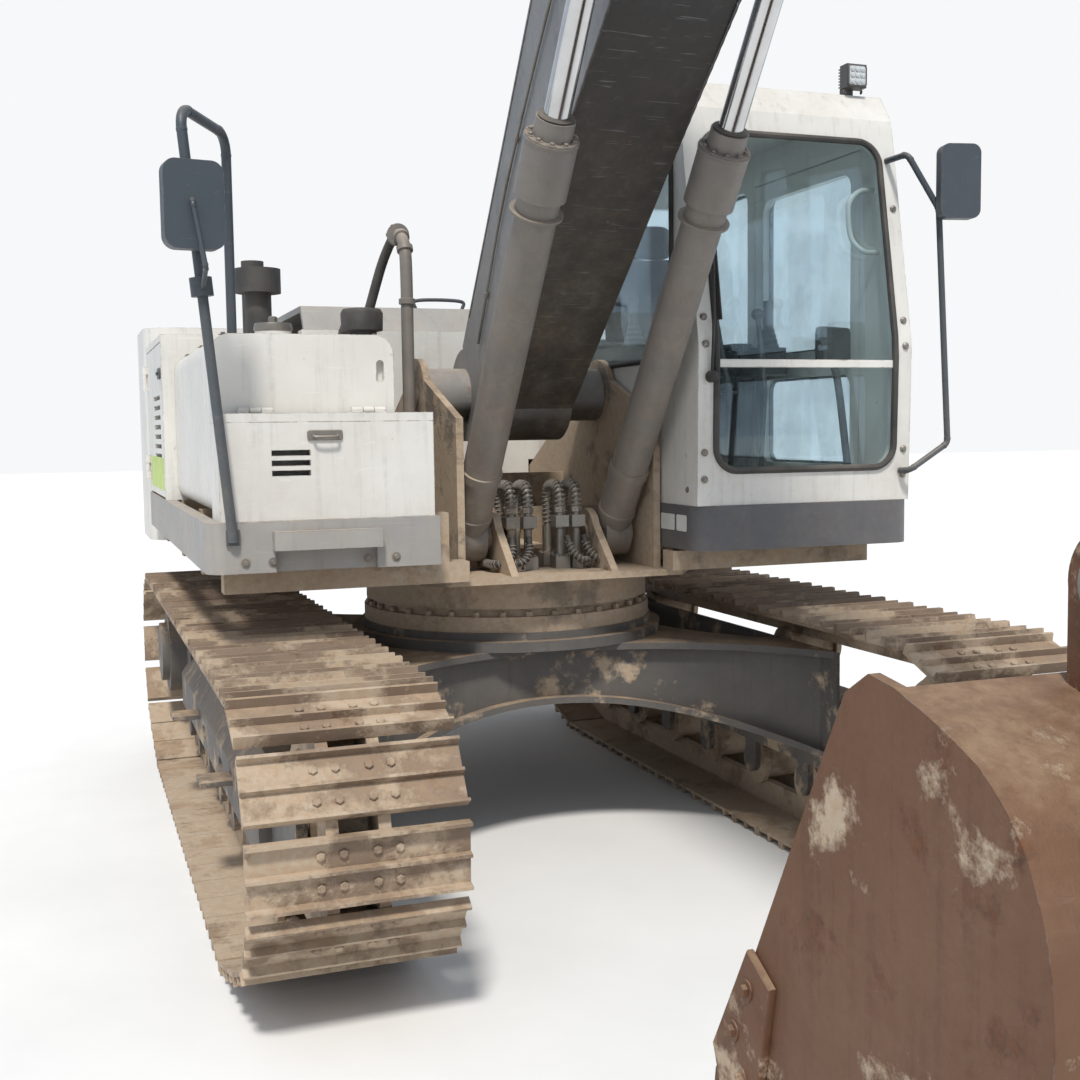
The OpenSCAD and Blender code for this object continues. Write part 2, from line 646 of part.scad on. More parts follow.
// Place of the cab's front face, forward, at a height on its leaning part
function cab_face(z) = cab_front + 15 - glass_lean * (z - floor_z - 600) / (cab_top_z - 710 - floor_z);

door_y = [-700, 160];         // front and rear edge of the door, along Y
door_z = [floor_z + 40, cab_top_z - 190];
front_margin = 75;

module front_opening(d) translate([cab_x + front_margin - d, 0])
  translate([0, floor_z + 130 - d]) rounded(cab_w - 2 * front_margin + 2 * d, cab_top_z - floor_z - 330 + 2 * d, 90);

module cab_shell() on_axis() color([0.88, 0.87, 0.84]) {
  for (z = cab_hinge_z) translate([half_w + knuckle_off, door_y[1], z]) hinge_half(true, 1);
  difference() {
    slab(cab_x, half_w) polygon(cab_side(0));
    slab(cab_x + cab_wall, half_w - cab_wall) polygon(cab_side(cab_wall));
    // Windscreen
    translate([0, -cab_front + 400, 0]) rotate([90, 0, 0]) linear_extrude(600) front_opening(0);
    // Side windows, right side seen from the boom
    slab(cab_x - 1, cab_x + cab_wall + 1) side_window(0);
    // Door opening on the left
    block(half_w - cab_wall - 1, half_w + 1, door_y[0], door_y[1], door_z[0], door_z[1]);
    // Rear quarter window on the left
    slab(half_w - cab_wall - 1, half_w + 1) translate([-660, floor_z + 640]) rounded(430, 760, 60);
    // Rear window
    block(cab_x + 110, half_w - 110, -cab_rear - cab_wall - 1, -cab_rear + 1, floor_z + 700, cab_top_z - 220);
  }
}

module side_window(d) translate([-600 - d, floor_z + 560 - d]) rounded(1380 + 2 * d, 840 + 2 * d, 60);

module cab_glass() on_axis() color([0.55, 0.7, 0.8, 0.35]) {
  // Windscreen pane between the side pillars
  intersection() {
    slab(cab_x + 40, half_w - 40) difference() {
      polygon(cab_side(12));
      polygon(cab_side(12 + pane));
    }
    translate([0, -cab_front + 400, 0]) rotate([90, 0, 0]) linear_extrude(600) front_opening(-seat_gap);
  }
  slab(cab_x + 12, cab_x + 12 + pane) side_window(-seat_gap);
  slab(half_w - 20, half_w - 20 + pane) translate([-660 + seat_gap, floor_z + 640 + seat_gap])
    rounded(430 - 2 * seat_gap, 760 - 2 * seat_gap, 60);
  block(cab_x + 110 + seat_gap, half_w - 110 - seat_gap, -cab_rear - 20, -cab_rear - 20 + pane,
    floor_z + 700 + seat_gap, cab_top_z - 220 - seat_gap);
}

skirt_end = -400;             // rear end of the skirt's side towards the boom

module cab_skirt() on_axis() color([0.3, 0.31, 0.34])
  translate([0, 0, skirt_z]) linear_extrude(floor_z - skirt_z - 1) difference() {
    skirt_plan(cab_x - 5, half_w + 20, -cab_front - 10, -cab_rear + 20, 90);
    skirt_plan(cab_x + 25, half_w - 10, -cab_front + 20, -cab_rear - 10, 60);
    translate([cab_x - 60, skirt_end]) square([200, 2000]);
    translate([half_w - 60, 0]) square([200, 2000]);
    translate([cab_x - 60, 300]) square([cab_w + 200, 2000]);
  }

module door_leaf(d) block(half_w - cab_wall + 3, half_w, door_y[0] + d, door_y[1] - seat_gap,
  door_z[0] + d, door_z[1] - d);

cab_hinge_z = [floor_z + 200, floor_z + 1200];

module cab_door() on_axis() color([0.88, 0.87, 0.84]) {
  for (z = cab_hinge_z) translate([half_w + knuckle_off, door_y[1], z]) hinge_half(false, -1);
  difference() {
    door_leaf(run);
    slab(half_w - cab_wall, half_w + 1) translate([-door_y[1] + 70, floor_z + 620])
      rounded(door_y[1] - door_y[0] - 140, door_z[1] - floor_z - 700, 60);
    slab(half_w - cab_wall, half_w + 1) translate([-door_y[1] + 70, floor_z + 130])
      rounded(door_y[1] - door_y[0] - 140, 380, 60);
  }
}

module cab_door_glass() on_axis() color([0.55, 0.7, 0.8, 0.35]) {
  slab(half_w - 24, half_w - 24 + pane) translate([-door_y[1] + 70 + seat_gap, floor_z + 620 + seat_gap])
    rounded(door_y[1] - door_y[0] - 140 - 2 * seat_gap, door_z[1] - floor_z - 700 - 2 * seat_gap, 60);
  slab(half_w - 24, half_w - 24 + pane) translate([-door_y[1] + 70 + seat_gap, floor_z + 130 + seat_gap])
    rounded(door_y[1] - door_y[0] - 140 - 2 * seat_gap, 380 - 2 * seat_gap, 60);
}

cab_mid = (cab_x + half_w) / 2;
cab_floor = floor_z + cab_wall;

module seat() on_axis() color([0.15, 0.15, 0.17]) {
  round_block(cab_mid - 240, cab_mid + 240, -60, 420, cab_floor + 399 + seat_gap, cab_floor + 510, 60);
  translate([0, 420 - 70, cab_floor + 508]) rotate([-8, 0, 0])
    translate([cab_mid - 230, 0, 0]) rotate([90, 0, 0]) translate([0, 0, -110]) linear_extrude(110)
      rounded(460, 560, 90);
  translate([cab_mid - 130, 432, cab_floor + 1050]) cube([260, 75, 170]);
}

module consoles() on_axis() color([0.2, 0.2, 0.22]) {
  round_block(cab_mid - 200, cab_mid + 200, 0, 360, cab_floor + 0.3, cab_floor + 399, 40);
  for (side = [-1, 1]) translate([cab_mid + side * 330, 0, 0]) {
    round_block(-75, 75, -180, 420, cab_floor + 480, cab_floor + 600, 40);
    block(-40, 40, 100, 300, cab_floor + 0.3, cab_floor + 480);
    translate([0, -120, cab_floor + 600]) cylinder(h = 90, r1 = 45, r2 = 18);
    translate([0, -120, cab_floor + 690]) cylinder(h = 120, r = 22);
  }
}

module travel_levers() on_axis() color([0.18, 0.18, 0.19])
  for (side = [-1, 1]) translate([cab_mid + side * 85, 0, 0]) {
    block(-50, 50, -620, -380, cab_floor + 0.3, cab_floor + 40);
    tube_run([[0, -480, cab_floor + 38], [0, -520, cab_floor + 400], [side * 15, -430, cab_floor + 720]], 11);
    translate([side * 15, -430, cab_floor + 720]) sphere(26);
  }

// Handrails: from the deck's front corner over to the tank, and beside the cab
post_foot = [-1270, -977, floor_z - 62];
post_top = [-1395, -977, 2690];

module handrails() on_axis() color([0.25, 0.27, 0.3]) {
  tube_run([post_foot, post_top, [-1206, -600, 2690], [-1206, -600, tank_z + seat_gap]], 17, 70);
  let (v = (post_top - post_foot) / norm(post_top - post_foot))
    along(post_foot + 800 * v, v, 60, 36);
  block(post_foot[0] - 22, post_foot[0] + 22, -972, -960 - seat_gap, post_foot[2] - 12, post_foot[2] + 40);
  tube_run([[half_w + seat_gap, -780, floor_z + 160], [half_w + 45, -780, floor_z + 160],
    [half_w + 45, -780, floor_z + 760], [half_w + seat_gap, -780, floor_z + 760]], 12, 25);
}

module mirrors() on_axis() color([0.22, 0.23, 0.25]) {
  tube_run([[-1343, -977 - 40, 2120], [-1343, -1118, 2170], [-1376, -1118, 2365], [-1376, -1090, 2385]], 8, 14);
  translate([-1376, -1052, 2228]) rotate([0, 0, 8]) rotate([90, 0, 0]) linear_extrude(50)
    translate([-95, 0]) rounded(190, 274, 40);
  tube_run([[half_w - 45, -cab_front - 8, 1475], [half_w - 40, -1040, 1475], [1478, -1060, 1580], [1425, -1060, 2480],
    [half_w - 40, -1010, 2690], [half_w - 40, -cab_face(2690) - 2.6, 2690]], 12, 30);
  translate([1478, -1092, 2435]) rotate([0, 0, -12]) rotate([90, 0, 0]) linear_extrude(45)
    translate([-80, 0]) rounded(160, 280, 35);
  tube_run([[1427, -1060, 2440], [1440, -1095, 2500], [1466, -1112, 2540]], 9, 12);
}

// Work lamps on the cab roof
module work_lamps() on_axis() color([0.75, 0.75, 0.72])
  for (x = [cab_x + 70, half_w - 130]) {
    block(x - 45, x + 45, -800, -750, cab_top_z + 25, cab_top_z + 115);
    block(x - 14, x + 14, -752, -700, cab_top_z + seat_gap, cab_top_z + 40);
  }

// Pre-cleaner on its bellows and the exhaust stack
module air_intake() on_axis() {
  color([0.12, 0.12, 0.12]) {
    translate([-900, 860, hood_z - 150 + seat_gap]) cylinder(h = 200, r = 60);
    translate([-900, 860, hood_z + 50]) cylinder(h = 110, r = 105);
  }
  color([0.4, 0.32, 0.26]) {
    translate([-860, 1300, hood_z - 150 + seat_gap]) cylinder(h = 30, r = 90);
    translate([-860, 1300, hood_z - 130]) cylinder(h = 380, r = 55);
  }
}

// Four steel bends that stand on their flanges between the cylinder feet
module front_pipes() on_axis() color([0.5, 0.5, 0.48])
  for (x = [-145, -75, 60, 130]) {
    tube_run([[x, -500, deck_z + deck_t + 25], [x, -500, deck_z + 350], [x, -360, deck_z + 350],
      [x, -360, deck_z + deck_t + 25]], 16);
    for (y = [-500, -360]) block(x - 30, x + 30, y - 35, y + 35, deck_z + deck_t + seat_gap, deck_z + deck_t + 50);
    block(x - 28, x + 28, -530, -470, deck_z + 190, deck_z + 235);
  }

// Cuts the corners of an open path, at most r from each one
function eased(p, r) =
  let (last = len(p) - 1)
  concat([p[0]], [for (i = [1 : 1 : last - 1]) for (q = [p[i - 1], p[i + 1]])
    p[i] + min(r, norm(q - p[i]) / 3) * (q - p[i]) / norm(q - p[i])], [p[last]]);

// Boom in its own frame: forward along the chord
boom_back = eased(eased([[60, 190], [1750, 1240], [2050, 1370], [2350, 1430], [2700, 1400],
  [3050, 1300], [boom_l - 120, 190]], 110), 40);
boom_belly = eased(eased([[boom_l - 260, -130], [boom_l - 700, 0], [3000, 660], [2700, 710],
  [2350, 700], [2050, 580], [150, -120]], 110), 40);

module boom_outline() {
  polygon(concat(boom_back, boom_belly));
  circle(190);
}

tip_plate = 60;

module boom() member(boom_foot, boom_deg) color([0.5, 0.52, 0.54]) {
  difference() {
    union() {
      slab(-boom_w / 2, boom_w / 2) boom_outline();
      rod_x(-plate_x + run, plate_x - run, 110);
      translate([0, -cyl_head[0], cyl_head[1]]) rod_x(-cyl_x + 60, cyl_x - 60, 120);
    }
    rod_x(-plate_x, plate_x, 55 + fit);
    slab(-arm_w / 2 - run, arm_w / 2 + run) translate([boom_l, 0]) circle(560);
  }
  both() slab(arm_w / 2 + run, arm_w / 2 + run + tip_plate) {
    translate([boom_l, 0]) circle(175);
    polygon([[boom_l - 620, 400], [boom_l + 60, 160], [boom_l + 60, -150], [boom_l - 700, 0]]);
  }
  translate([0, -boom_l, 0]) rod_x(-arm_w / 2 - run - tip_plate - 20, arm_w / 2 + run + tip_plate + 20, 50);
  // Arm cylinder bracket on the back
  both() slab(arm_barrel_d / 2 + 20, arm_barrel_d / 2 + 54) {
    translate(arm_cyl_foot) circle(100);
    polygon([[arm_cyl_foot[0] - 330, 1330], [arm_cyl_foot[0] - 60, arm_cyl_foot[1] + 80],
      [arm_cyl_foot[0] + 80, arm_cyl_foot[1] + 40], [arm_cyl_foot[0] + 230, 1150]]);
  }
  translate([0, -arm_cyl_foot[0], arm_cyl_foot[1]])
    rod_x(-arm_barrel_d / 2 - 66, arm_barrel_d / 2 + 66, 45);
}

module boom_pipes() member(boom_foot, boom_deg) color([0.35, 0.36, 0.38]) {
  first = -boom_w / 2 + 45;
  rise = atan2(1240 - 190, 1750 - 60);
  for (k = [0 : 3]) let (x = first + k * 55)
    tube_run([[x, -469, 479], [x, -1736, 1267], [x, -2041, 1399], [x, -2340, 1459]], 14, 500);
  for (s = [650, 1300]) slab(first - 25, first + 190)
    translate([60, 190] + turn2([s, 0], rise)) rotate(rise) translate([-20, seat_gap]) square([40, 46]);
}

// Cylinders: barrel with its foot eye, stepped gland; rod with its head eye
module barrel(d, rod_d, len, eye_w, pin_d, eye) color([0.45, 0.46, 0.47]) difference() {
  union() {
    rod_x(-eye_w / 2, eye_w / 2, eye);
    translate([0, 0, 0]) rotate([90, 0, 0]) {
      translate([0, 0, eye * 0.6]) cylinder(h = len - eye * 0.6 - 150, r = d / 2);
      translate([0, 0, len - 260]) cylinder(h = 200, r = d / 2 + 15);
      translate([0, 0, len - 60]) cylinder(h = 60, r = rod_d / 2 + 22);
    }
  }
  rod_x(-eye_w, eye_w, pin_d / 2 + fit);
  rotate([90, 0, 0]) translate([0, 0, eye + 40]) cylinder(h = len, r = rod_d / 2 + fit);
}

module rod(rod_d, from, to, eye_w, eye) color([0.75, 0.75, 0.76]) {
  rotate([90, 0, 0]) translate([0, 0, from]) cylinder(h = to - from - eye * 0.8, r = rod_d / 2);
  translate([0, -to, 0]) rod_x(-eye_w / 2, eye_w / 2, eye);
}

boom_cyl_len = norm(cyl_head_at - cyl_foot);
boom_cyl_dir = angle2(cyl_foot, cyl_head_at);
boom_barrel_l = 1720;

module boom_barrels() member(cyl_foot, boom_cyl_dir) both() translate([cyl_x, 0, 0])
  barrel(boom_barrel_d, boom_rod_d, boom_barrel_l, 110, 90, 95);

module boom_rods() member(cyl_foot, boom_cyl_dir) both() translate([cyl_x, 0, 0])
  rod(boom_rod_d, 1000, boom_cyl_len, 100, 90);

arm_cyl_len = norm(arm_cyl_head_at - arm_cyl_foot_at);
arm_cyl_dir = angle2(arm_cyl_foot_at, arm_cyl_head_at);
arm_barrel_l = 1960;

module arm_barrel() member(arm_cyl_foot_at, arm_cyl_dir)
  barrel(arm_barrel_d, arm_rod_d, arm_barrel_l, arm_barrel_d, 90, 95);

module arm_rod() member(arm_cyl_foot_at, arm_cyl_dir) rod(arm_rod_d, 1700, arm_cyl_len, 120, eye_r);

// Arm in its own frame: forward from the boom's tip to the bucket pin
module arm_outline() {
  difference() {
    union() {
      polygon([[arm_cyl_head[0] + 60, arm_cyl_head[1] - 90], [-100, -170], [160, -180],
        [arm_l - 40, -110], [arm_l + 20, 110], [arm_l - 420, 150], [bucket_cyl_foot[0] + 60, 480],
        [bucket_cyl_foot[0] - 90, 500], [-60, 430], [arm_cyl_head[0] + 40, arm_cyl_head[1] + 95]]);
      circle(180);
      translate([arm_l, 0]) circle(115);
    }
    circle(50 + fit);
  }
}

module arm() member(arm_pin, arm_dir) color([0.5, 0.52, 0.54]) {
  difference() {
    slab(-arm_w / 2, arm_w / 2) arm_outline();
    // Open space between the tail plates, where the rod's eye moves
    slab(-62 - run, 62 + run) translate([arm_cyl_head[0] - 300, -300]) square([300 + arm_slot, 900]);
  }
  both() slab(67, arm_w / 2) {
    translate(arm_cyl_head) circle(eye_r + 20);
  }
  both() slab(bucket_barrel_d / 2 + 20, bucket_barrel_d / 2 + 50) {
    translate(bucket_cyl_foot) circle(85);
    polygon([[bucket_cyl_foot[0] - 200, 400], [bucket_cyl_foot[0] - 60, bucket_cyl_foot[1] + 60],
      [bucket_cyl_foot[0] + 60, bucket_cyl_foot[1] + 60], [bucket_cyl_foot[0] + 260, 380]]);
  }
  translate([0, -bucket_cyl_foot[0], bucket_cyl_foot[1]]) rod_x(-bucket_barrel_d / 2 - 62, bucket_barrel_d / 2 + 62, 38);
  translate([0, -rocker_foot[0], rocker_foot[1]]) rod_x(-arm_w / 2 - 60, arm_w / 2 + 60, 40);
  translate([0, -arm_l, 0]) rod_x(-arm_w / 2 - 75, arm_w / 2 + 75, 40);
}

bucket_cyl_len = norm(joint_at - bucket_cyl_foot_at);
bucket_cyl_dir = angle2(bucket_cyl_foot_at, joint_at);
bucket_barrel_d = 140;
bucket_rod_d = 80;

module bucket_barrel() member(bucket_cyl_foot_at, bucket_cyl_dir)
  barrel(bucket_barrel_d, bucket_rod_d, 1430, 140, 76, 80);

module bucket_rod() member(bucket_cyl_foot_at, bucket_cyl_dir)
  rod(bucket_rod_d, 400, bucket_cyl_len, 110, 80);

rocker_x = arm_w / 2 + 8;

module rocker() member(rocker_at, angle2(rocker_at, joint_at)) color([0.45, 0.42, 0.38])
  both() slab(rocker_x, rocker_x + 40) difference() {
    hull() {
      circle(80);
      translate([rocker_l, 0]) circle(70);
    }
    circle(40 + fit);
  }

// Link between the rocker's end and the bucket, pinned at the bucket
link_x = arm_w / 2 - 45;

module bucket_link() member(link_at, angle2(link_at, joint_at)) color([0.45, 0.42, 0.38]) {
  both() slab(link_x - 45, link_x) difference() {
    hull() {
      circle(78);
      translate([link_l, 0]) circle(75);
    }
    circle(38 + fit);
  }
  slab(-link_x + 40, link_x - 40) translate([130, -30]) rounded(190, 60, 20);
}

// Bucket in its own frame: forward along the line to the tooth tips, up is the outer side
heel_pts = eased(eased([[205, -40], [178, 120], [180, 240], [240, 360], [360, 470], [520, 545],
  [700, 570], [880, 530], [1040, 440], [1190, 300], [tip_r - 240, 120], [tip_r - 200, -10],
  [tip_r - 175, -125]], 50), 20);

// Unit normal of an open path at point i, towards its inner side
function inward(path, i) =
  let (last = len(path) - 1, a = path[min(i + 1, last)] - path[max(i - 1, 0)], u = a / norm(a))
  [u[1], -u[0]];

// A plate of even thickness that follows a path
module strip(path, t) polygon(concat(path,
  [for (i = [len(path) - 1 : -1 : 0]) path[i] + t * inward(path, i)]));

module bucket() member(bucket_pin, bucket_dir) color([0.45, 0.28, 0.18]) {
  both() slab(bucket_w / 2 - bucket_t, bucket_w / 2)
    polygon(concat(heel_pts, [[tip_r - 260, -155], [300, -150], [230, -110]]));
  slab(-bucket_w / 2 + 1, bucket_w / 2 - 1) strip(heel_pts, bucket_t);
  // Ears with the bucket pin and the link pin
  both() slab(arm_w / 2 + 8, arm_w / 2 + 68) difference() {
    union() {
      circle(100);
      translate(turn2([link_pin, 0], link_deg)) circle(95);
      polygon([[-99, 10], turn2([link_pin + 95, 0], link_deg + 6), [300, 440], [420, 515],
        [250, 340], [200, 200], [210, 0], [36, -93]]);
    }
    circle(40 + fit);
    translate(turn2([link_pin, 0], link_deg)) circle(38);
  }
  translate([0, -turn2([link_pin, 0], link_deg)[0], turn2([link_pin, 0], link_deg)[1]])
    rod_x(-arm_w / 2 - 80, arm_w / 2 + 80, 38);
  // Teeth on the lip
  for (k = [0 : teeth - 1])
    let (x = -bucket_w / 2 + 60 + k * (bucket_w - 120) / (teeth - 1))
      slab(x - 45, x + 45) polygon([[tip_r - 260, -130], [tip_r - 200, -150], [tip_r, 0],
        [tip_r - 200, 20], [tip_r - 300, 40]]);
}

car_body();
swing_bearing();
track_frames();
track_left();
track_right();
idlers();
sprockets();
carrier_rollers();
track_rollers();
travel_motors();
main_frame();
counterweight();
engine();
engine_hood();
side_panels();
left_side_door();
right_side_door();
fuel_tank();
toolbox();
toolbox_lid();
deck_skirts();
cab_shell();
cab_glass();
cab_skirt();
cab_door();
cab_door_glass();
seat();
consoles();
travel_levers();
handrails();
mirrors();
work_lamps();
air_intake();
front_pipes();
boom();
boom_pipes();
boom_barrels();
boom_rods();
arm();
arm_barrel();
arm_rod();
bucket_barrel();
bucket_rod();
rocker();
bucket_link();
bucket();
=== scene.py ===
"""Crawler excavator: finishes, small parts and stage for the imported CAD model.

Everything is in metres in the model's frame: the ground is z = 0, the machine's front is -Y and
+X is the operator's left. The swing axis stands at x = 0, y = SWING_Y.
"""
import math

import bmesh
import bpy
import numpy as np
from mathutils import Matrix, Vector


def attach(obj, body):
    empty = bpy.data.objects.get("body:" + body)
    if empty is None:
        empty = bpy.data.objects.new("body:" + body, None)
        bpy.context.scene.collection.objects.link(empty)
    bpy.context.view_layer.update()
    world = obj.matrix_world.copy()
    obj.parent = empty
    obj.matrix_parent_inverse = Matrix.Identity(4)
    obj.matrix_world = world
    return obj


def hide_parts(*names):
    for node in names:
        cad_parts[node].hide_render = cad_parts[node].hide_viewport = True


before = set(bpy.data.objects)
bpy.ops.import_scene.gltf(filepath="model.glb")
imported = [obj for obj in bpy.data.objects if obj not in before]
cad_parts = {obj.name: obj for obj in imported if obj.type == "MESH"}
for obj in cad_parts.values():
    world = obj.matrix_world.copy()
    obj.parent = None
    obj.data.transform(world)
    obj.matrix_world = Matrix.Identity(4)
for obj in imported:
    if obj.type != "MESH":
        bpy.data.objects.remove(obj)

bl_info = {
    "name": "Crawler Excavator Finish",
    "version": (1, 0, 0),
    "blender": (4, 5, 0),
    "location": "View3D > Sidebar > Excavator",
    "description": "Adds finishes, small parts and a stage to a crawler excavator model",
    "category": "Object",
}

SWING_Y = 1.73724
X, Y, Z, FRONT = (1, 0, 0), (0, 1, 0), (0, 0, 1), (0, -1, 0)
ACROSS = np.array((1.0, 0.0, 0.0))


# Node graphs

class Graph:
    """Short names for building one material's node tree."""

    def __init__(self, name):
        """Start an empty node material called name with one Principled shader."""
        self.mat = bpy.data.materials.get(name) or bpy.data.materials.new(name)
        self.mat.use_nodes = True
        self.tree = self.mat.node_tree
        self.tree.nodes.clear()
        self.out = self.node("OutputMaterial")
        self.shader = self.node("BsdfPrincipled")
        self.link(self.shader.outputs[0], self.out.inputs[0])
        self.coord = self.node("TexCoord").outputs["Object"]
        self.geo = self.node("NewGeometry")

    def node(self, kind, **inputs):
        """A new shader node with constants set on the sockets that are named."""
        n = self.tree.nodes.new("ShaderNode" + kind)
        for key, value in inputs.items():
            n.inputs[key].default_value = value
        return n

    def link(self, a, b):
        """Wire socket a into socket b."""
        self.tree.links.new(a, b)

    def put(self, socket, value):
        """Wire a socket, or set a constant, on an input."""
        if isinstance(value, bpy.types.NodeSocket):
            self.link(value, socket)
        elif isinstance(value, (tuple, list)) and len(value) == 3 and socket.type == "RGBA":
            socket.default_value = (*value, 1.0)
        else:
            socket.default_value = value

    def math(self, op, a, b=0.0, clamp=False):
        """One maths node: op(a, b)."""
        n = self.node("Math")
        n.operation = op
        n.use_clamp = clamp
        self.put(n.inputs[0], a)
        self.put(n.inputs[1], b)
        return n.outputs[0]

    def times(self, a, b, clamp=False):
        """The product a b."""
        return self.math("MULTIPLY", a, b, clamp)

    def plus(self, a, b, clamp=False):
        """The sum a + b."""
        return self.math("ADD", a, b, clamp)

    def stretch(self, scale):
        """Object coordinates multiplied by scale per axis."""
        n = self.node("Mapping", Scale=scale)
        self.link(self.coord, n.inputs["Vector"])
        return n.outputs[0]

    def noise(self, scale, detail=4.0, rough=0.6, vector=None, distort=0.0):
        """Fractal noise value, 0 to 1."""
        n = self.node("TexNoise", Scale=scale, Detail=detail, Roughness=rough, Distortion=distort)
        self.link(vector or self.coord, n.inputs["Vector"])
        return n.outputs["Fac"]

    def step(self, value, low, high, out_low=0.0, out_high=1.0):
        """Linear step of value from low to high, clamped."""
        n = self.node("MapRange")
        self.put(n.inputs["Value"], value)
        for key, v in zip(("From Min", "From Max", "To Min", "To Max"), (low, high, out_low, out_high)):
            n.inputs[key].default_value = v
        return n.outputs["Result"]

    def mix(self, fac, a, b):
        """Colour a where fac is 0, b where it is 1."""
        n = self.node("Mix")
        n.data_type = "RGBA"
        self.put(n.inputs["Factor"], fac)
        self.put(n.inputs[6], a)
        self.put(n.inputs[7], b)
        return n.outputs[2]

    def part(self, name, axis):
        """One component of the surface's Normal or Position in the world."""
        n = self.node("SeparateXYZ")
        self.link(self.geo.outputs[name], n.inputs[0])
        return n.outputs[axis]

    def bump(self, height, strength, distance):
        """Normal bumped by a height."""
        n = self.node("Bump", Strength=strength, Distance=distance)
        self.put(n.inputs["Height"], height)
        return n.outputs[0]

    def edges(self):
        """1 on sharp edges within EDGE_WIDTH, 0 on flats: the normal against the bevelled one."""
        bevel = self.node("Bevel", Radius=EDGE_WIDTH)
        bevel.samples = 4
        dot = self.node("VectorMath")
        dot.operation = "DOT_PRODUCT"
        self.link(bevel.outputs[0], dot.inputs[0])
        self.link(self.geo.outputs["Normal"], dot.inputs[1])
        return self.step(dot.outputs["Value"], FLAT, SHARP)

    def finish(self, color, rough, metallic=0.0, normal=None):
        """Wire the shader and return the material."""
        self.put(self.shader.inputs["Base Color"], color)
        self.put(self.shader.inputs["Roughness"], rough)
        self.put(self.shader.inputs["Metallic"], metallic)
        if normal is not None:
            self.link(normal, self.shader.inputs["Normal"])
        return self.mat


TAN = (0.40, 0.285, 0.185)
PALE_DUST = (0.47, 0.39, 0.30)
RUST = (0.16, 0.058, 0.022)
DARK_RUST = (0.065, 0.032, 0.02)
BARE = (0.20, 0.20, 0.20)
EDGE_WIDTH, FLAT, SHARP = 0.004, 0.995, 0.86


def weathered(name, base, second, rough=0.5, metallic=0.0, dust=0.3, low_dust=0.3, mud=0.0, rust=0.1,
              chips=0.3, streaks=0.3, bump=0.15, low_z=(0.3, 1.6), dust_color=PALE_DUST, underside_shade=None):
    """Paint or steel with dust, mud, streaks, chips and rust.

    colour = mix(base, second, noise); streaks = noise stretched 18:1 along z; dust = up-facing part
    of the normal and height below low_z, times noise; chips and rust = high noise, more on edges;
    the underside colour, where given, is painted shade: a darker colour laid on faces that look down.
    """
    g = Graph(name)
    blotch = g.noise(2.3, 5.0, 0.62)
    fine = g.noise(38.0, 6.0, 0.7)
    grain = g.noise(160.0, 3.0, 0.6)
    color = g.mix(g.step(blotch, 0.35, 0.68), base, second)
    # painted shade: faces that look down turn towards the darker underside colour
    if underside_shade is not None:
        color = g.mix(g.step(g.part("Normal", 2), -0.25, -0.6), color, underside_shade)
    streak = g.noise(1.0, 4.0, 0.65, g.stretch((26.0, 26.0, 1.4)))
    streak_mask = g.times(g.step(streak, 0.52, 0.72), g.step(fine, 0.3, 0.62))
    color = g.mix(g.times(streak_mask, streaks), color, tuple(0.45 * c for c in second))
    scratch_mask = g.step(g.noise(1.0, 2.0, 0.5, g.stretch((7.0, 160.0, 90.0)), 0.6), 0.665, 0.70)
    color = g.mix(g.times(scratch_mask, 0.5 * chips), color, tuple(min(1.0, 0.1 + 1.2 * c) for c in base))
    edge = g.edges()
    worn = g.plus(g.noise(15.0, 8.0, 0.75), g.times(edge, 0.22))
    chip = g.step(worn, 0.705 - 0.07 * chips, 0.73 - 0.07 * chips)
    rusty = g.plus(g.noise(6.0, 9.0, 0.72), g.times(edge, 0.12))
    rust_mask = g.step(rusty, 0.70 - 0.17 * rust, 0.79 - 0.17 * rust)
    color = g.mix(chip, color, g.mix(g.step(fine, 0.4, 0.6), BARE, DARK_RUST))
    color = g.mix(rust_mask, color, g.mix(g.step(fine, 0.35, 0.65), DARK_RUST, RUST))
    up = g.step(g.part("Normal", 2), 0.15, 0.95)
    low = g.step(g.part("Position", 2), low_z[1], low_z[0])
    cake = g.times(g.step(g.noise(5.0, 7.0, 0.7), 0.36, 0.62), g.step(fine, 0.25, 0.6))
    lying = g.plus(g.times(up, dust), g.times(low, low_dust))
    dirt = g.times(lying, g.plus(g.times(cake, 0.75), 0.25), clamp=True)
    color = g.mix(dirt, color, g.mix(g.step(g.noise(11.0, 5.0, 0.6), 0.35, 0.7), dust_color, TAN))
    lumps = g.plus(g.times(fine, 0.5), g.times(grain, 0.25))
    if mud > 0.0:
        wet = g.step(g.plus(g.noise(3.4, 9.0, 0.68), g.times(low, 0.1)), 0.70 - 0.32 * mud, 0.76 - 0.3 * mud)
        color = g.mix(wet, color, g.mix(g.step(fine, 0.3, 0.7), TAN, PALE_DUST))
        dirt = g.math("MAXIMUM", dirt, wet)
        lumps = g.plus(lumps, g.times(wet, 1.4))
    roughness = g.plus(g.step(fine, 0.3, 0.7, rough - 0.08, rough + 0.1), g.times(dirt, 0.35), clamp=True)
    steel = g.times(g.math("SUBTRACT", 1.0, dirt), metallic, clamp=True)
    lumps = g.math("SUBTRACT", lumps, g.times(chip, 0.25))
    return g.finish(color, roughness, steel, g.bump(lumps, bump, 0.006))


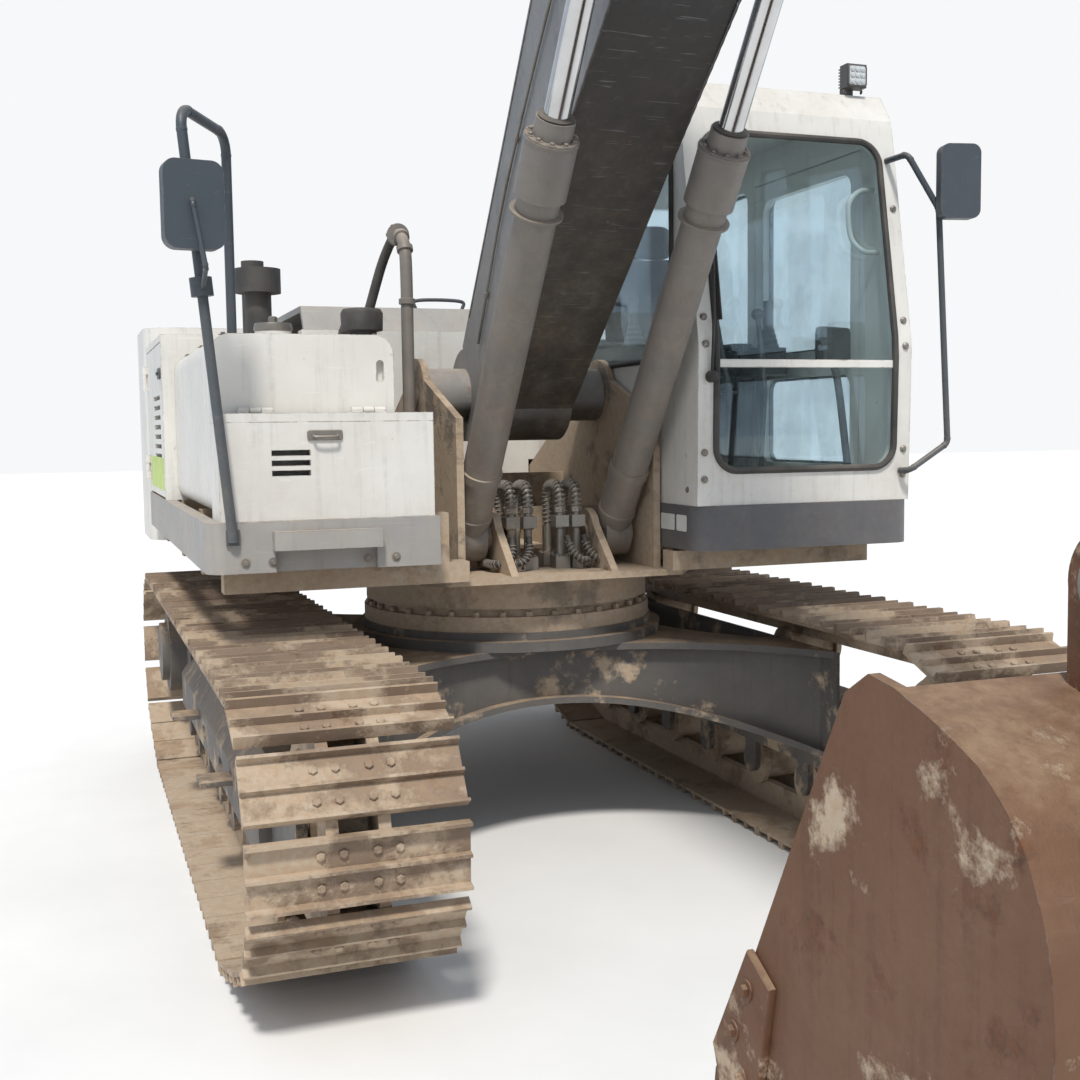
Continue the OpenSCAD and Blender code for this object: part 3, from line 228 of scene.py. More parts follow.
def plain(name, base, rough, metallic=0.0, grain_scale=120.0, grain=0.08, dust=0.15):
    """Moulded or machined surface: fine grain, small colour change and a dust film on up-facing parts."""
    g = Graph(name)
    fine = g.noise(grain_scale, 4.0, 0.6)
    wide = g.noise(6.0, 5.0, 0.6)
    color = g.mix(g.step(wide, 0.35, 0.7), base, tuple(0.75 * c + 0.02 for c in base))
    up = g.step(g.part("Normal", 2), 0.0, 1.0, 0.25, 1.0)
    mask = g.times(g.times(up, dust), g.step(wide, 0.3, 0.6))
    color = g.mix(mask, color, PALE_DUST)
    roughness = g.plus(g.step(fine, 0.3, 0.7, rough - 0.05, rough + 0.08), g.times(mask, 0.4), clamp=True)
    return g.finish(color, roughness, metallic, g.bump(fine, grain, 0.002))


def pane_glass(name):
    """Clear glass with a light blue tint, a dust film and wiped streaks."""
    g = Graph(name)
    g.shader.inputs["Transmission Weight"].default_value = 1.0
    g.shader.inputs["IOR"].default_value = 1.35
    film = g.step(g.noise(3.0, 6.0, 0.7), 0.42, 0.8, 0.0, 0.35)
    color = g.mix(film, (0.80, 0.90, 0.94), (0.60, 0.62, 0.60))
    g.finish(color, g.step(g.noise(60.0, 4.0, 0.6), 0.3, 0.8, 0.0, 0.12))
    clear = g.node("BsdfTransparent", Color=(0.88, 0.94, 0.96, 1.0))
    both = g.node("MixShader")
    g.put(both.inputs[0], g.step(film, 0.0, 0.4, 0.12, 0.45))
    g.link(clear.outputs[0], both.inputs[1])
    g.link(g.shader.outputs[0], both.inputs[2])
    g.link(both.outputs[0], g.out.inputs[0])
    return g.mat


# Plain finishes: name, base colour, roughness, metallic, scale and depth of the grain, dust
PLAIN = {
    "chrome": ("rod_chrome", (0.62, 0.62, 0.62), 0.14, 1.0, 300.0, 0.01, 0.12),
    "rubber": ("black_rubber", (0.022, 0.022, 0.023), 0.6, 0.0, 200.0, 0.12, 0.28),
    "trim": ("cab_trim", (0.03, 0.03, 0.033), 0.5, 0.0, 350.0, 0.15, 0.12),
    "engine": ("engine_iron", (0.03, 0.03, 0.032), 0.6, 0.2, 60.0, 0.2, 0.2),
    "lamp": ("lamp_housing", (0.05, 0.05, 0.05), 0.35, 0.0, 200.0, 0.03, 0.15),
    "wrap": ("hose_wrap", (0.17, 0.155, 0.135), 0.55, 0.0, 220.0, 0.08, 0.5),
    "label": ("blank_label", (0.72, 0.72, 0.68), 0.35, 0.0, 160.0, 0.02, 0.2),
    "lens": ("lamp_lens", (0.62, 0.66, 0.68), 0.12, 0.0, 140.0, 0.02, 0.12),
    # painted shade: near-black colour of the slabs laid where the shoes' mud holes are
    "hollow": ("mud_hole_shade", (0.028, 0.020, 0.014), 0.85, 0.0, 120.0, 0.2, 0.1),
    "cloth": ("seat_cloth", (0.035, 0.037, 0.042), 0.85, 0.0, 500.0, 0.5, 0.05),
}


def make_materials(look):
    """Build every finish and return them by name; four colours come from the settings."""
    m = {"glass": pane_glass("cab_glass")}
    m["white"] = weathered(
        "white_paint", tuple(look.white), (0.63, 0.61, 0.565), 0.38, dust=0.5, low_dust=0.26, rust=0.2,
        chips=0.35, streaks=0.4, bump=0.06, low_z=(1.0, 2.2))
    m["grey"] = weathered(
        "grey_paint", tuple(look.grey), (0.34, 0.33, 0.315), 0.5, dust=0.6, low_dust=0.4, rust=0.2,
        chips=0.5, streaks=0.35, bump=0.1, low_z=(0.9, 1.9))
    m["dark"] = weathered(
        "dark_skirt_paint", (0.075, 0.08, 0.092), (0.11, 0.112, 0.12), 0.42, dust=0.5, low_dust=0.3,
        rust=0.1, chips=0.35, streaks=0.3, bump=0.06, low_z=(0.9, 1.7))
    # the boom's near-black underside colour is painted shade
    m["boom"] = weathered(
        "boom_paint", tuple(look.boom), (0.145, 0.15, 0.155), 0.5, dust=0.55, low_dust=0.45, rust=0.3,
        chips=0.5, streaks=0.5, bump=0.1, low_z=(1.5, 2.9), underside_shade=(0.03, 0.028, 0.027))
    m["cylinder"] = weathered(
        "cylinder_paint", (0.19, 0.175, 0.16), (0.14, 0.13, 0.12), 0.45, dust=0.65, low_dust=0.5, rust=0.15,
        chips=0.35, streaks=0.35, bump=0.07, low_z=(1.2, 2.9))
    m["body"] = weathered(
        "car_body_paint", (0.085, 0.082, 0.078), (0.13, 0.12, 0.11), 0.6, dust=1.0, low_dust=0.12, mud=0.30,
        rust=0.3, chips=0.35, streaks=0.5, bump=0.4, low_z=(0.2, 1.2), dust_color=TAN)
    m["frame"] = weathered(
        "frame_mud", (0.20, 0.165, 0.13), (0.26, 0.21, 0.16), 0.75, dust=0.95, low_dust=0.5, mud=0.85,
        rust=0.35, chips=0.2, streaks=0.5, bump=0.5, low_z=(0.2, 2.0), dust_color=TAN)
    m["track"] = weathered(
        "track_steel", (0.27, 0.205, 0.15), (0.17, 0.115, 0.08), 0.62, 0.3, dust=0.9, low_dust=0.5, mud=0.62,
        rust=0.55, chips=0.3, streaks=0.25, bump=0.45, low_z=(0.0, 1.2), dust_color=TAN)
    m["bucket"] = weathered(
        "bucket_steel", (0.135, 0.062, 0.032), (0.17, 0.088, 0.05), 0.6, 0.3, dust=0.6, low_dust=0.12,
        mud=0.30, rust=0.7, chips=0.3, streaks=0.6, bump=0.45, low_z=(0.0, 1.3), dust_color=TAN)
    m["pipe"] = weathered(
        "pipe_steel", (0.28, 0.27, 0.25), (0.2, 0.18, 0.15), 0.4, 0.6, dust=0.5, low_dust=0.35, mud=0.1,
        rust=0.35, chips=0.2, bump=0.08, low_z=(0.9, 2.2))
    m["tube"] = weathered(
        "tube_paint", (0.045, 0.06, 0.075), (0.06, 0.07, 0.08), 0.45, dust=0.35, low_dust=0.2, rust=0.1,
        chips=0.35, bump=0.06, low_z=(1.0, 2.4))
    m["lime"] = plain("lime_band", tuple(look.lime), 0.4, 0.0, 90.0, 0.03, 0.25)
    m.update((key, plain(*row)) for key, row in PLAIN.items())
    return m


# The nodes of the model that take each finish
NODE_FINISH = {
    "body": ("car_body", "track_frames", "travel_motors"),
    "frame": ("swing_bearing", "main_frame"),
    "dark": ("cab_skirt",),
    "track": ("track_left", "track_right", "idlers", "sprockets", "carrier_rollers", "track_rollers"),
    "white": ("counterweight", "side_panels", "left_side_door", "right_side_door", "fuel_tank", "toolbox",
              "toolbox_lid", "cab_shell", "cab_door"),
    "grey": ("engine_hood", "deck_skirts"),
    "glass": ("cab_glass", "cab_door_glass"),
    "cloth": ("seat",),
    "trim": ("consoles", "travel_levers"),
    "tube": ("handrails", "mirrors"),
    "lamp": ("work_lamps",),
    "rubber": ("air_intake",),
    "pipe": ("front_pipes", "boom_pipes"),
    "boom": ("boom", "arm", "rocker", "bucket_link"),
    "cylinder": ("boom_barrels", "arm_barrel", "bucket_barrel"),
    "chrome": ("boom_rods", "arm_rod", "bucket_rod"),
    "engine": ("engine",),
    "bucket": ("bucket",),
}


# Stage

SENSOR, FLOOR_HALF, SKY_STRENGTH = 36.0, 60.0, 0.75
FLOOR_COLORS = (0.80, 0.795, 0.78), (0.74, 0.735, 0.72)
SKY_COLOR, BACKDROP = (0.80, 0.88, 1.0, 1.0), (0.93, 0.94, 0.95, 1.0)
SUN_COLOR, SUN_TOWARDS = (1.0, 0.965, 0.91), (0.25, 0.62, -0.95)


def camera_pose(props):
    """Camera matrix from its place, heading, pitch and roll: columns right, up and back."""
    yaw, pitch, roll = props.yaw, props.pitch, props.roll
    fwd = Vector((math.sin(yaw) * math.cos(pitch), math.cos(yaw) * math.cos(pitch), -math.sin(pitch)))
    right = Vector((math.cos(yaw), -math.sin(yaw), 0.0))
    up = right.cross(fwd)
    r2 = right * math.cos(roll) + up * math.sin(roll)
    u2 = up * math.cos(roll) - right * math.sin(roll)
    rot = Matrix((r2, u2, -fwd)).transposed().to_4x4()
    return Matrix.Translation(Vector(props.place) + Vector((0.0, SWING_Y, 0.0))) @ rot


class StageProps(bpy.types.PropertyGroup):
    """Camera and light settings."""
    place: bpy.props.FloatVectorProperty(
        name="Camera place", description="Camera place from the swing axis on the ground",
        default=(-1.798, -5.355, 1.652), subtype="TRANSLATION", unit="LENGTH")
    yaw: bpy.props.FloatProperty(
        name="Heading", description="Turn from +Y to +X", default=math.radians(20.07), subtype="ANGLE")
    pitch: bpy.props.FloatProperty(
        name="Pitch", description="Angle of the view below level", default=math.radians(4.79), subtype="ANGLE")
    roll: bpy.props.FloatProperty(
        name="Roll", description="Turn about the view", default=math.radians(-0.78), subtype="ANGLE")
    lens: bpy.props.FloatProperty(
        name="Lens", description="Focal length for a 36 mm wide sensor", default=43.73, unit="CAMERA")
    sun: bpy.props.FloatProperty(name="Key light", description="Strength of the soft sun", default=3.0)


class LookProps(bpy.types.PropertyGroup):
    """Sizes and colours of the pieces."""
    seal: bpy.props.FloatProperty(
        name="Seal radius", description="Radius of the window seals", default=0.011, unit="LENGTH")
    hose: bpy.props.FloatProperty(
        name="Hose radius", description="Radius of the hoses at the boom foot", default=0.012, unit="LENGTH")
    bolt: bpy.props.FloatProperty(
        name="Shoe bolt radius", description="Radius of the shoes' bolt heads", default=0.013, unit="LENGTH")
    white: bpy.props.FloatVectorProperty(
        name="White paint", description="Paint of the cab, doors, tank and counterweight",
        default=(0.72, 0.71, 0.67), min=0.0, max=1.0, subtype="COLOR")
    grey: bpy.props.FloatVectorProperty(
        name="Grey paint", description="Paint of the hood and deck skirts",
        default=(0.27, 0.27, 0.265), min=0.0, max=1.0, subtype="COLOR")
    boom: bpy.props.FloatVectorProperty(
        name="Boom paint", description="Paint of the boom, arm and bucket links",
        default=(0.20, 0.205, 0.21), min=0.0, max=1.0, subtype="COLOR")
    lime: bpy.props.FloatVectorProperty(
        name="Lime band", description="Colour of the band on the right door",
        default=(0.50, 0.66, 0.10), min=0.0, max=1.0, subtype="COLOR")


class EXC_OT_stage(bpy.types.Operator):
    """Set the camera, the pale floor and the soft lights"""
    bl_idname = "excavator.stage"
    bl_label = "Stage"

    def execute(self, context):
        """Build camera, floor, world and lamps."""
        scene = context.scene
        p = scene.excavator_stage
        cam_data = bpy.data.cameras.new("camera")
        cam_data.lens = p.lens
        cam_data.sensor_width = SENSOR
        cam_data.clip_end = 200.0
        cam = bpy.data.objects.new("camera", cam_data)
        scene.collection.objects.link(cam)
        cam.matrix_world = camera_pose(p)
        scene.camera = cam
        scene.view_settings.view_transform = "Standard"
        mesh = bpy.data.meshes.new("floor")
        corners = [(x * FLOOR_HALF, y * FLOOR_HALF, 0.0) for x, y in ((-1, -1), (1, -1), (1, 1), (-1, 1))]
        mesh.from_pydata(corners, [], [(0, 1, 2, 3)])
        floor = bpy.data.objects.new("floor", mesh)
        scene.collection.objects.link(floor)
        g = Graph("floor")
        dust = g.noise(1.2, 6.0, 0.6)
        mesh.materials.append(g.finish(g.mix(g.step(dust, 0.3, 0.7), *FLOOR_COLORS), 0.9))
        world = bpy.data.worlds.new("world")
        scene.world = world
        world.use_nodes = True
        nodes, links = world.node_tree.nodes, world.node_tree.links
        sky = nodes["Background"]
        sky.inputs[0].default_value, sky.inputs[1].default_value = SKY_COLOR, SKY_STRENGTH
        seen = nodes.new("ShaderNodeBackground")
        seen.inputs[0].default_value, seen.inputs[1].default_value = BACKDROP, 1.0
        path = nodes.new("ShaderNodeLightPath")
        mix = nodes.new("ShaderNodeMixShader")
        links.new(path.outputs["Is Camera Ray"], mix.inputs[0])
        links.new(sky.outputs[0], mix.inputs[1])
        links.new(seen.outputs[0], mix.inputs[2])
        links.new(mix.outputs[0], nodes["World Output"].inputs[0])
        lamp = bpy.data.lights.new("key", "SUN")
        lamp.energy = p.sun
        lamp.angle = math.radians(8.0)
        lamp.color = SUN_COLOR
        key = bpy.data.objects.new("key", lamp)
        scene.collection.objects.link(key)
        key.rotation_euler = Vector(SUN_TOWARDS).to_track_quat("-Z", "Y").to_euler()
        return {"FINISHED"}


# Shapes

MATERIALS = {}


def square_pair(tangent, side_dir):
    """Two unit vectors square to each tangent: n = tangent x side_dir and b = tangent x n."""
    t = tangent / np.linalg.norm(tangent, axis=1, keepdims=True)
    n = np.cross(t, side_dir)
    n /= np.maximum(np.linalg.norm(n, axis=1, keepdims=True), 1e-9)
    return n, np.cross(t, n)


def circles(tangent, sides, side_dir):
    """A unit circle square to each tangent: cos a * n + sin a * b of its square pair."""
    n, b = square_pair(tangent, side_dir)
    a = np.linspace(0.0, 2.0 * math.pi, sides, endpoint=False)[None, :, None]
    return np.cos(a) * n[:, None] + np.sin(a) * b[:, None]


class Shape:
    """Collects closed surfaces made from grids and turns them into one mesh object."""

    def __init__(self):
        """Start with no points and no faces."""
        self.points, self.faces, self.count = [], [], 0

    def grid(self, p, ends=True):
        """Skin of an (n, m, 3) grid closed round m, with flat ends: quad (i, j) joins rows i and i + 1."""
        n, m = p.shape[:2]
        i, j = np.meshgrid(np.arange(n - 1), np.arange(m), indexing="ij")
        k = (j + 1) % m
        quads = np.stack((i * m + j, i * m + k, (i + 1) * m + k, (i + 1) * m + j), -1) + self.count
        self.faces += quads.reshape(-1, 4).tolist()
        if ends:
            first, last = self.count, self.count + (n - 1) * m
            self.faces += [list(range(first, first + m))[::-1], list(range(last, last + m))]
        self.points.append(p.reshape(-1, 3))
        self.count += n * m

    def tube(self, path, radius, sides=12, side_dir=X):
        """Circle of the radius, or of a radius per point, swept along a path: centre + r * unit circle."""
        r = np.broadcast_to(np.asarray(radius, float), (len(path),))[:, None, None]
        self.grid(path[:, None] + r * circles(np.gradient(path, axis=0), sides, side_dir))

    def line(self, points, n, radius, sides=12, side_dir=X):
        """Tube along the flowing curve of n samples through places from the swing axis; returns the curve."""
        path = flowing([at(*p) for p in points], n)
        self.tube(path, radius, sides, side_dir)
        return path

    def ring(self, path, radius, sides=10, side_dir=X):
        """Tube along a closed path: as tube, with the last circle joined to the first."""
        p = path[:, None] + radius * circles(np.roll(path, -1, 0) - np.roll(path, 1, 0), sides, side_dir)
        self.grid(np.concatenate((p, p[:1])), ends=False)

    def lathe(self, profile, place, axis, sides=24):
        """Profile of (distance along, radius) pairs turned about the axis through place."""
        profile = np.asarray(profile, float)[:, :, None, None]
        w = np.asarray(axis, float) / np.linalg.norm(axis)
        u = np.cross(w, X if abs(w[0]) < 0.9 else Y)
        u /= np.linalg.norm(u)
        a = np.linspace(0.0, 2.0 * math.pi, sides, endpoint=False)[:, None]
        self.grid(place + profile[:, 0] * w + profile[:, 1] * (np.cos(a) * u + np.sin(a) * np.cross(w, u)))

    def bolt(self, place, axis, r=0.012):
        """Hexagon head with a chamfer on a washer."""
        self.lathe([(0.0, 1.75 * r), (0.25 * r, 1.75 * r), (0.25 * r, 0.5 * r)], place, axis, 14)
        self.lathe([(0.2 * r, r), (0.9 * r, r), (1.05 * r, 0.84 * r)], place, axis, 6)

    def slab(self, outline, place, u, v, thick, bevel=0.002):
        """Outline (n, 2) in the plane of u and v, thick along u x v, its edge bevelled by shrinking."""
        outline = np.asarray(outline, float)
        u, v = np.asarray(u, float), np.asarray(v, float)
        w = np.cross(u, v)
        c = outline.mean(0)
        size = np.abs(outline - c).max(0)
        small = c + (outline - c) * (1.0 - bevel / np.maximum(size, 1e-6))
        rings = [(small, 0.0), (outline, bevel), (outline, thick - bevel), (small, thick)]
        self.grid(np.stack([place + o[:, :1] * u + o[:, 1:] * v + h * w for o, h in rings]))

    def plate(self, w, h, r, place, u, v, thick, bevel=0.002):
        """Slab of a w by h rectangle with corners of radius r, at a place from the swing axis."""
        self.slab(rounded(w, h, r), at(*place), u, v, thick, bevel)

    def make(self, name, finish, body, smooth=35.0):
        """Build the object, face its skins outwards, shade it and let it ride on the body."""
        mesh = bpy.data.meshes.new(name)
        mesh.from_pydata(np.concatenate(self.points).tolist(), [], self.faces)
        bm = bmesh.new()
        bm.from_mesh(mesh)
        bmesh.ops.recalc_face_normals(bm, faces=bm.faces[:])
        bm.to_mesh(mesh)
        bm.free()
        mesh.shade_smooth()
        mesh.set_sharp_from_angle(angle=math.radians(smooth))
        mesh.materials.append(MATERIALS[finish])
        obj = bpy.data.objects.new(name, mesh)
        bpy.context.scene.collection.objects.link(obj)
        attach(obj, body)
        return obj


def at(x, y, z):
    """A place given from the swing axis, in the model's frame."""
    return np.array((x, y + SWING_Y, z))


def rounded(w, h, r, n=5):
    """Outline of a w by h rectangle about the origin with quarter circles of radius r at its corners."""
    a = np.linspace(0.0, math.pi / 2.0, n)
    q = np.stack((np.cos(a), np.sin(a)), 1) * r
    p = np.stack((-q[:, 1], q[:, 0]), 1)
    quarters = (q, (1, 1)), (p, (-1, 1)), (-q, (-1, -1)), (-p, (1, -1))
    return np.concatenate([c + np.array(s) * (w / 2.0 - r, h / 2.0 - r) for c, s in quarters])


def flowing(points, n=40):
    """Catmull-Rom curve through the points, n samples in all."""
    p = np.asarray(points, float)
    p = np.concatenate((2.0 * p[:1] - p[1:2], p, 2.0 * p[-1:] - p[-2:-1]))
    s = np.linspace(0.0, len(p) - 3 - 1e-9, n)
    i = s.astype(int)
    t = (s - i)[:, None]
    a, b, c, d = p[i], p[i + 1], p[i + 2], p[i + 3]
    return 0.5 * (2 * b + (c - a) * t + (2 * a - 5 * b + 4 * c - d) * t ** 2 + (3 * b - a - 3 * c + d) * t ** 3)


def coil(path, radius, pitch, per_turn=10, side_dir=X):
    """Helix of the radius round a path: centre + r (cos a * n + sin a * b), a = 2 pi length / pitch."""
    s = np.concatenate(([0.0], np.cumsum(np.linalg.norm(np.diff(path, axis=0), axis=1))))
    f = np.linspace(0.0, s[-1], max(int(s[-1] / pitch * per_turn), 8))
    p = np.stack([np.interp(f, s, path[:, k]) for k in range(3)], 1)
    n, b = square_pair(np.gradient(p, axis=0), side_dir)
    a = (2.0 * math.pi * f / pitch)[:, None]
    return p + radius * (np.cos(a) * n + np.sin(a) * b)


# Sizes shared with the model, in metres and degrees: heights from the ground, the rest from the swing axis
DECK, FLOOR, HALF_W, CAB_X, CAB_FRONT = 1.080, 1.360, 1.355, 0.425, 0.98
CAB_MID, CAB_FLOOR, SILL, HEAD = (CAB_X + HALF_W) / 2.0, FLOOR + 0.045, FLOOR + 0.13, FLOOR + 1.40
HOOD_Z, TANK_Z, BOX_Z = 2.25, 2.0, 1.69
TRACK_X, SHOES, PIN_R, AXLE_Y, AXLE_Z, RUN_Y, RUN_Z = 1.10, 46, 0.315, 1.675, 0.53, 1.345, 0.098
BOOM_FOOT, BOOM_DEG, BOOM_L, BOOM_W = (0.10, 1.80), 20.2, 5.68, 0.412
ARM_DEG, ARM_L, ARM_W, BUCKET_DEG, BUCKET_W, TIP_R = 35.8, 2.92, 0.33, 62.2, 1.10, 1.57
CYL_X, CYL_FOOT, CYL_HEAD, BARREL_R, COLLAR_R = 0.304, (0.44, 1.235), (2.42, 0.86), 0.0726, 0.0876
SLANT, LAMPS, LAMP_Z, LAMP_FACE, BAR_Z = (0.0, 0.3, 1.0), (0.495, 1.225), 3.03, -0.80, 1.89
SHOE_SEAT, SHOE_BOLTS, RING_R, RING_BOLTS, PAD_Z = 0.0686, (-0.105, -0.045, 0.045, 0.105), 0.628, 40, 0.60


def turned(p, degrees):
    """A forward and up pair turned anticlockwise in the side view."""
    a = math.radians(degrees)
    return np.array((p[0] * math.cos(a) - p[1] * math.sin(a), p[0] * math.sin(a) + p[1] * math.cos(a)))


class Member:
    """Side-view frame of a pivoted member: its pivot and the direction that its pieces are drawn along."""

    def __init__(self, pivot, degrees):
        """Keep the pivot (forward, up) and the direction's angle above forward."""
        self.pivot, self.degrees = np.asarray(pivot, float), degrees

    def place(self, s, n, x):
        """Point s along the member, n above it and x across, in the model's frame."""
        f = self.pivot + turned((s, n), self.degrees)
        return at(x, -f[0], f[1])

    def places(self, points, x):
        """Points (along, above) of the member, all at x across."""
        return [self.place(s, n, x) for s, n in points]

    def way(self, s, n):
        """Unit vector along the member for (1, 0), square to it in the side view for (0, 1)."""
        f = turned((s, n), self.degrees)
        return np.array((0.0, -f[0], f[1]))


BOOM = Member(BOOM_FOOT, BOOM_DEG)
ARM_PIN = BOOM.pivot + turned((BOOM_L, 0.0), BOOM_DEG)
ARM = Member(ARM_PIN, 270.0 - ARM_DEG)
BUCKET = Member(ARM_PIN + turned((ARM_L, 0.0), 270.0 - ARM_DEG), 180.0 + BUCKET_DEG)
CYL_AT = BOOM.pivot + turned(CYL_HEAD, BOOM_DEG)
BOOM_CYL = Member(CYL_FOOT, math.degrees(math.atan2(CYL_AT[1] - CYL_FOOT[1], CYL_AT[0] - CYL_FOOT[0])))


def cab_face(z):
    """Distance of the cab's front face ahead of the swing axis at a height."""
    return np.where(z < 1.96, CAB_FRONT + 0.025 * (z - FLOOR), 0.995 - 0.15 * (z - 1.96) / 0.89)


def on_face(x, z, out=0.0):
    """A place on the cab's front face, stood off it by out."""
    return at(x, -cab_face(z) - out, z)


def face_path(x0, x1, z0, z1, r, out):
    """Rounded rectangle on the cab's front face, stood off it by out; its sides are cut into short steps."""
    o = rounded(x1 - x0, z1 - z0, r, 9) + ((x0 + x1) / 2.0, (z0 + z1) / 2.0)
    dense = []
    for a, b in zip(o, np.roll(o, -1, 0)):
        steps = max(int(np.linalg.norm(b - a) / 0.08), 1)
        dense.append(a + (b - a) * np.linspace(0.0, 1.0, steps, endpoint=False)[:, None])
    o = np.concatenate(dense)
    return np.stack((o[:, 0], SWING_Y - cab_face(o[:, 1]) - out, o[:, 1]), 1)


def side_path(x, y0, y1, z0, z1, r):
    """Rounded rectangle in an upright fore-and-aft plane."""
    o = rounded(y1 - y0, z1 - z0, r, 9) + ((y0 + y1) / 2.0, (z0 + z1) / 2.0)
    return np.stack((np.full(len(o), x), o[:, 0] + SWING_Y, o[:, 1]), 1)


# Groups of pieces

UPPER = "upper_structure"


def cab_outside(seal):
    """Seals, door handle, screen bar, wiper, bolts, skirt labels and the lamps' fronts and fins on the cab."""
    s = Shape()
    s.ring(face_path(CAB_X + 0.075, HALF_W - 0.075, SILL, HEAD, 0.09, 0.002), seal + 0.002, 8, Y)
    s.ring(side_path(CAB_X - 0.003, -0.78, 0.60, FLOOR + 0.56, HEAD, 0.06), seal + 0.001, 8, SLANT)
    s.ring(side_path(HALF_W + 0.003, 0.23, 0.66, FLOOR + 0.64, HEAD, 0.06), seal, 8, SLANT)
    s.make("cab_seals", "rubber", UPPER)
    s = Shape()
    for low, high in ((0.62, 1.35), (0.13, 0.51)):
        s.ring(side_path(HALF_W + 0.002, -0.63, 0.09, FLOOR + low, FLOOR + high, 0.06), seal, 8, SLANT)
    z = FLOOR + 0.56
    s.plate(0.16, 0.05, 0.015, (HALF_W + 0.001, -0.55, z), FRONT, Z, 0.012)
    s.line([(HALF_W + 0.01, -0.61, z), (HALF_W + 0.035, -0.59, z), (HALF_W + 0.035, -0.51, z),
            (HALF_W + 0.01, -0.49, z)], 20, 0.007, 8, Z)
    s.make("door_trim", "rubber", "cab_door")
    s = Shape()
    s.plate(HALF_W - CAB_X - 0.155, 0.030, 0.004, (CAB_MID, -cab_face(BAR_Z) + 0.010, BAR_Z), X, Z, 0.012)
    s.make("screen_bar", "white", UPPER)
    s = Shape()
    lever = [on_face(0.475, 1.84, 0.012), on_face(0.478, 2.1, 0.045), on_face(0.505, 2.42, 0.03)]
    s.tube(flowing(lever, 20), 0.006, 8)
    s.lathe([(0, 0.022), (0.03, 0.022), (0.045, 0.012), (0.05, 0.004)], on_face(0.475, 1.84, -0.004), FRONT, 18)
    blade = np.stack([on_face(0.515, v, 0.012) for v in np.linspace(2.05, 2.68, 12)])
    s.tube(blade, 0.008, 6)
    s.tube(blade + (0.0, -0.012, 0.0), 0.004, 6)
    s.make("wiper", "rubber", UPPER)
    s = Shape()
    for x in (CAB_X + 0.028, HALF_W - 0.03):
        for v in (1.46, 1.56, 1.96, 2.06, 2.5):
            s.lathe([(0, 0.014), (0.004, 0.014), (0.010, 0.008), (0.011, 0.002)], on_face(x, v), FRONT, 16)
    for y in np.linspace(-0.9, 0.6, 7):
        s.bolt(at(CAB_X, y, FLOOR + 0.06), (-1, 0, 0), 0.007)
    for x in LAMPS:
        for k in (-1, 1):
            s.bolt(at(x + k * 0.038, LAMP_FACE + 0.028, LAMP_Z - 0.055), (k, 0, 0), 0.005)
    s.make("cab_bolts", "pipe", UPPER)
    s = Shape()
    for x in LAMPS:
        s.plate(0.076, 0.076, 0.01, (x, LAMP_FACE - 0.0002, LAMP_Z), X, Z, 0.006)
        for i in (-1, 0, 1):
            for k in (-1, 0, 1):
                place = at(x + 0.023 * i, LAMP_FACE - 0.006, LAMP_Z + 0.023 * k)
                s.lathe([(0, 0.011), (0.004, 0.010), (0.007, 0.005)], place, FRONT, 12)
    s.make("lamp_glasses", "lens", UPPER)
    s = Shape()
    for x in LAMPS:
        for k in range(7):
            z = LAMP_Z - 0.034 + 0.0115 * k
            s.plate(0.08, 0.004, 0.001, (x, LAMP_FACE + 0.0698, z), X, Z, 0.018, 0.0006)
        rim = face_path(x - 0.040, x + 0.040, LAMP_Z - 0.038, LAMP_Z + 0.038, 0.008, 0.0)
        s.ring(rim * (1, 0, 1) + (0, SWING_Y + LAMP_FACE - 0.002, 0), 0.005, 8, Y)
    s.make("lamp_fins", "lamp", UPPER)
    s = Shape()
    for y, w in ((-0.86, 0.085), (-0.74, 0.12), (-0.60, 0.12)):
        s.plate(w, 0.062, 0.006, (CAB_X - 0.0055, y, 1.292), FRONT, Z, 0.0015, 0.0004)
    s.make("skirt_labels", "label", UPPER)


def cab_inside():
    """Floor mat, lever boots, arm pads, monitor on its stalk and the grab loop in the cab."""
    s = Shape()
    s.plate(0.80, 1.1, 0.03, (CAB_MID, 0.0, CAB_FLOOR + 0.0005), X, Y, 0.006)
    for side in (-1, 1):
        x = CAB_MID + side * 0.33
        folds = [(0.0005 + 0.011 * k, 0.047 - 0.003 * k + 0.004 * (k % 2)) for k in range(9)]
        s.lathe(folds, at(x, -0.12, CAB_FLOOR + PAD_Z), Z, 24)
        s.plate(0.13, 0.30, 0.04, (x, 0.24, CAB_FLOOR + PAD_Z + 0.0003), X, Y, 0.035, 0.012)
    s.plate(0.20, 0.15, 0.02, (HALF_W - 0.16, -0.66, 1.98), (0.94, 0.34, 0.0), Z, 0.035, 0.006)
    s.line([(HALF_W - 0.16, -0.68, 1.92), (HALF_W - 0.14, -0.70, 1.80),
            (HALF_W - 0.10, -0.72, CAB_FLOOR + 0.01)], 18, 0.016, 10)
    s.make("cab_trim_parts", "trim", UPPER)
    s = Shape()
    s.line([(1.315, -0.83, 2.34), (1.25, -0.82, 2.345), (1.20, -0.81, 2.39), (1.19, -0.80, 2.47),
            (1.20, -0.79, 2.54), (1.25, -0.785, 2.585), (1.315, -0.79, 2.59)], 30, 0.010, 10, (0, 1, 0.2))
    s.make("grab_loop", "label", UPPER)


def power(c, e):
    """A number's size raised to a power, with its sign kept."""
    return np.sign(c) * np.abs(c) ** e


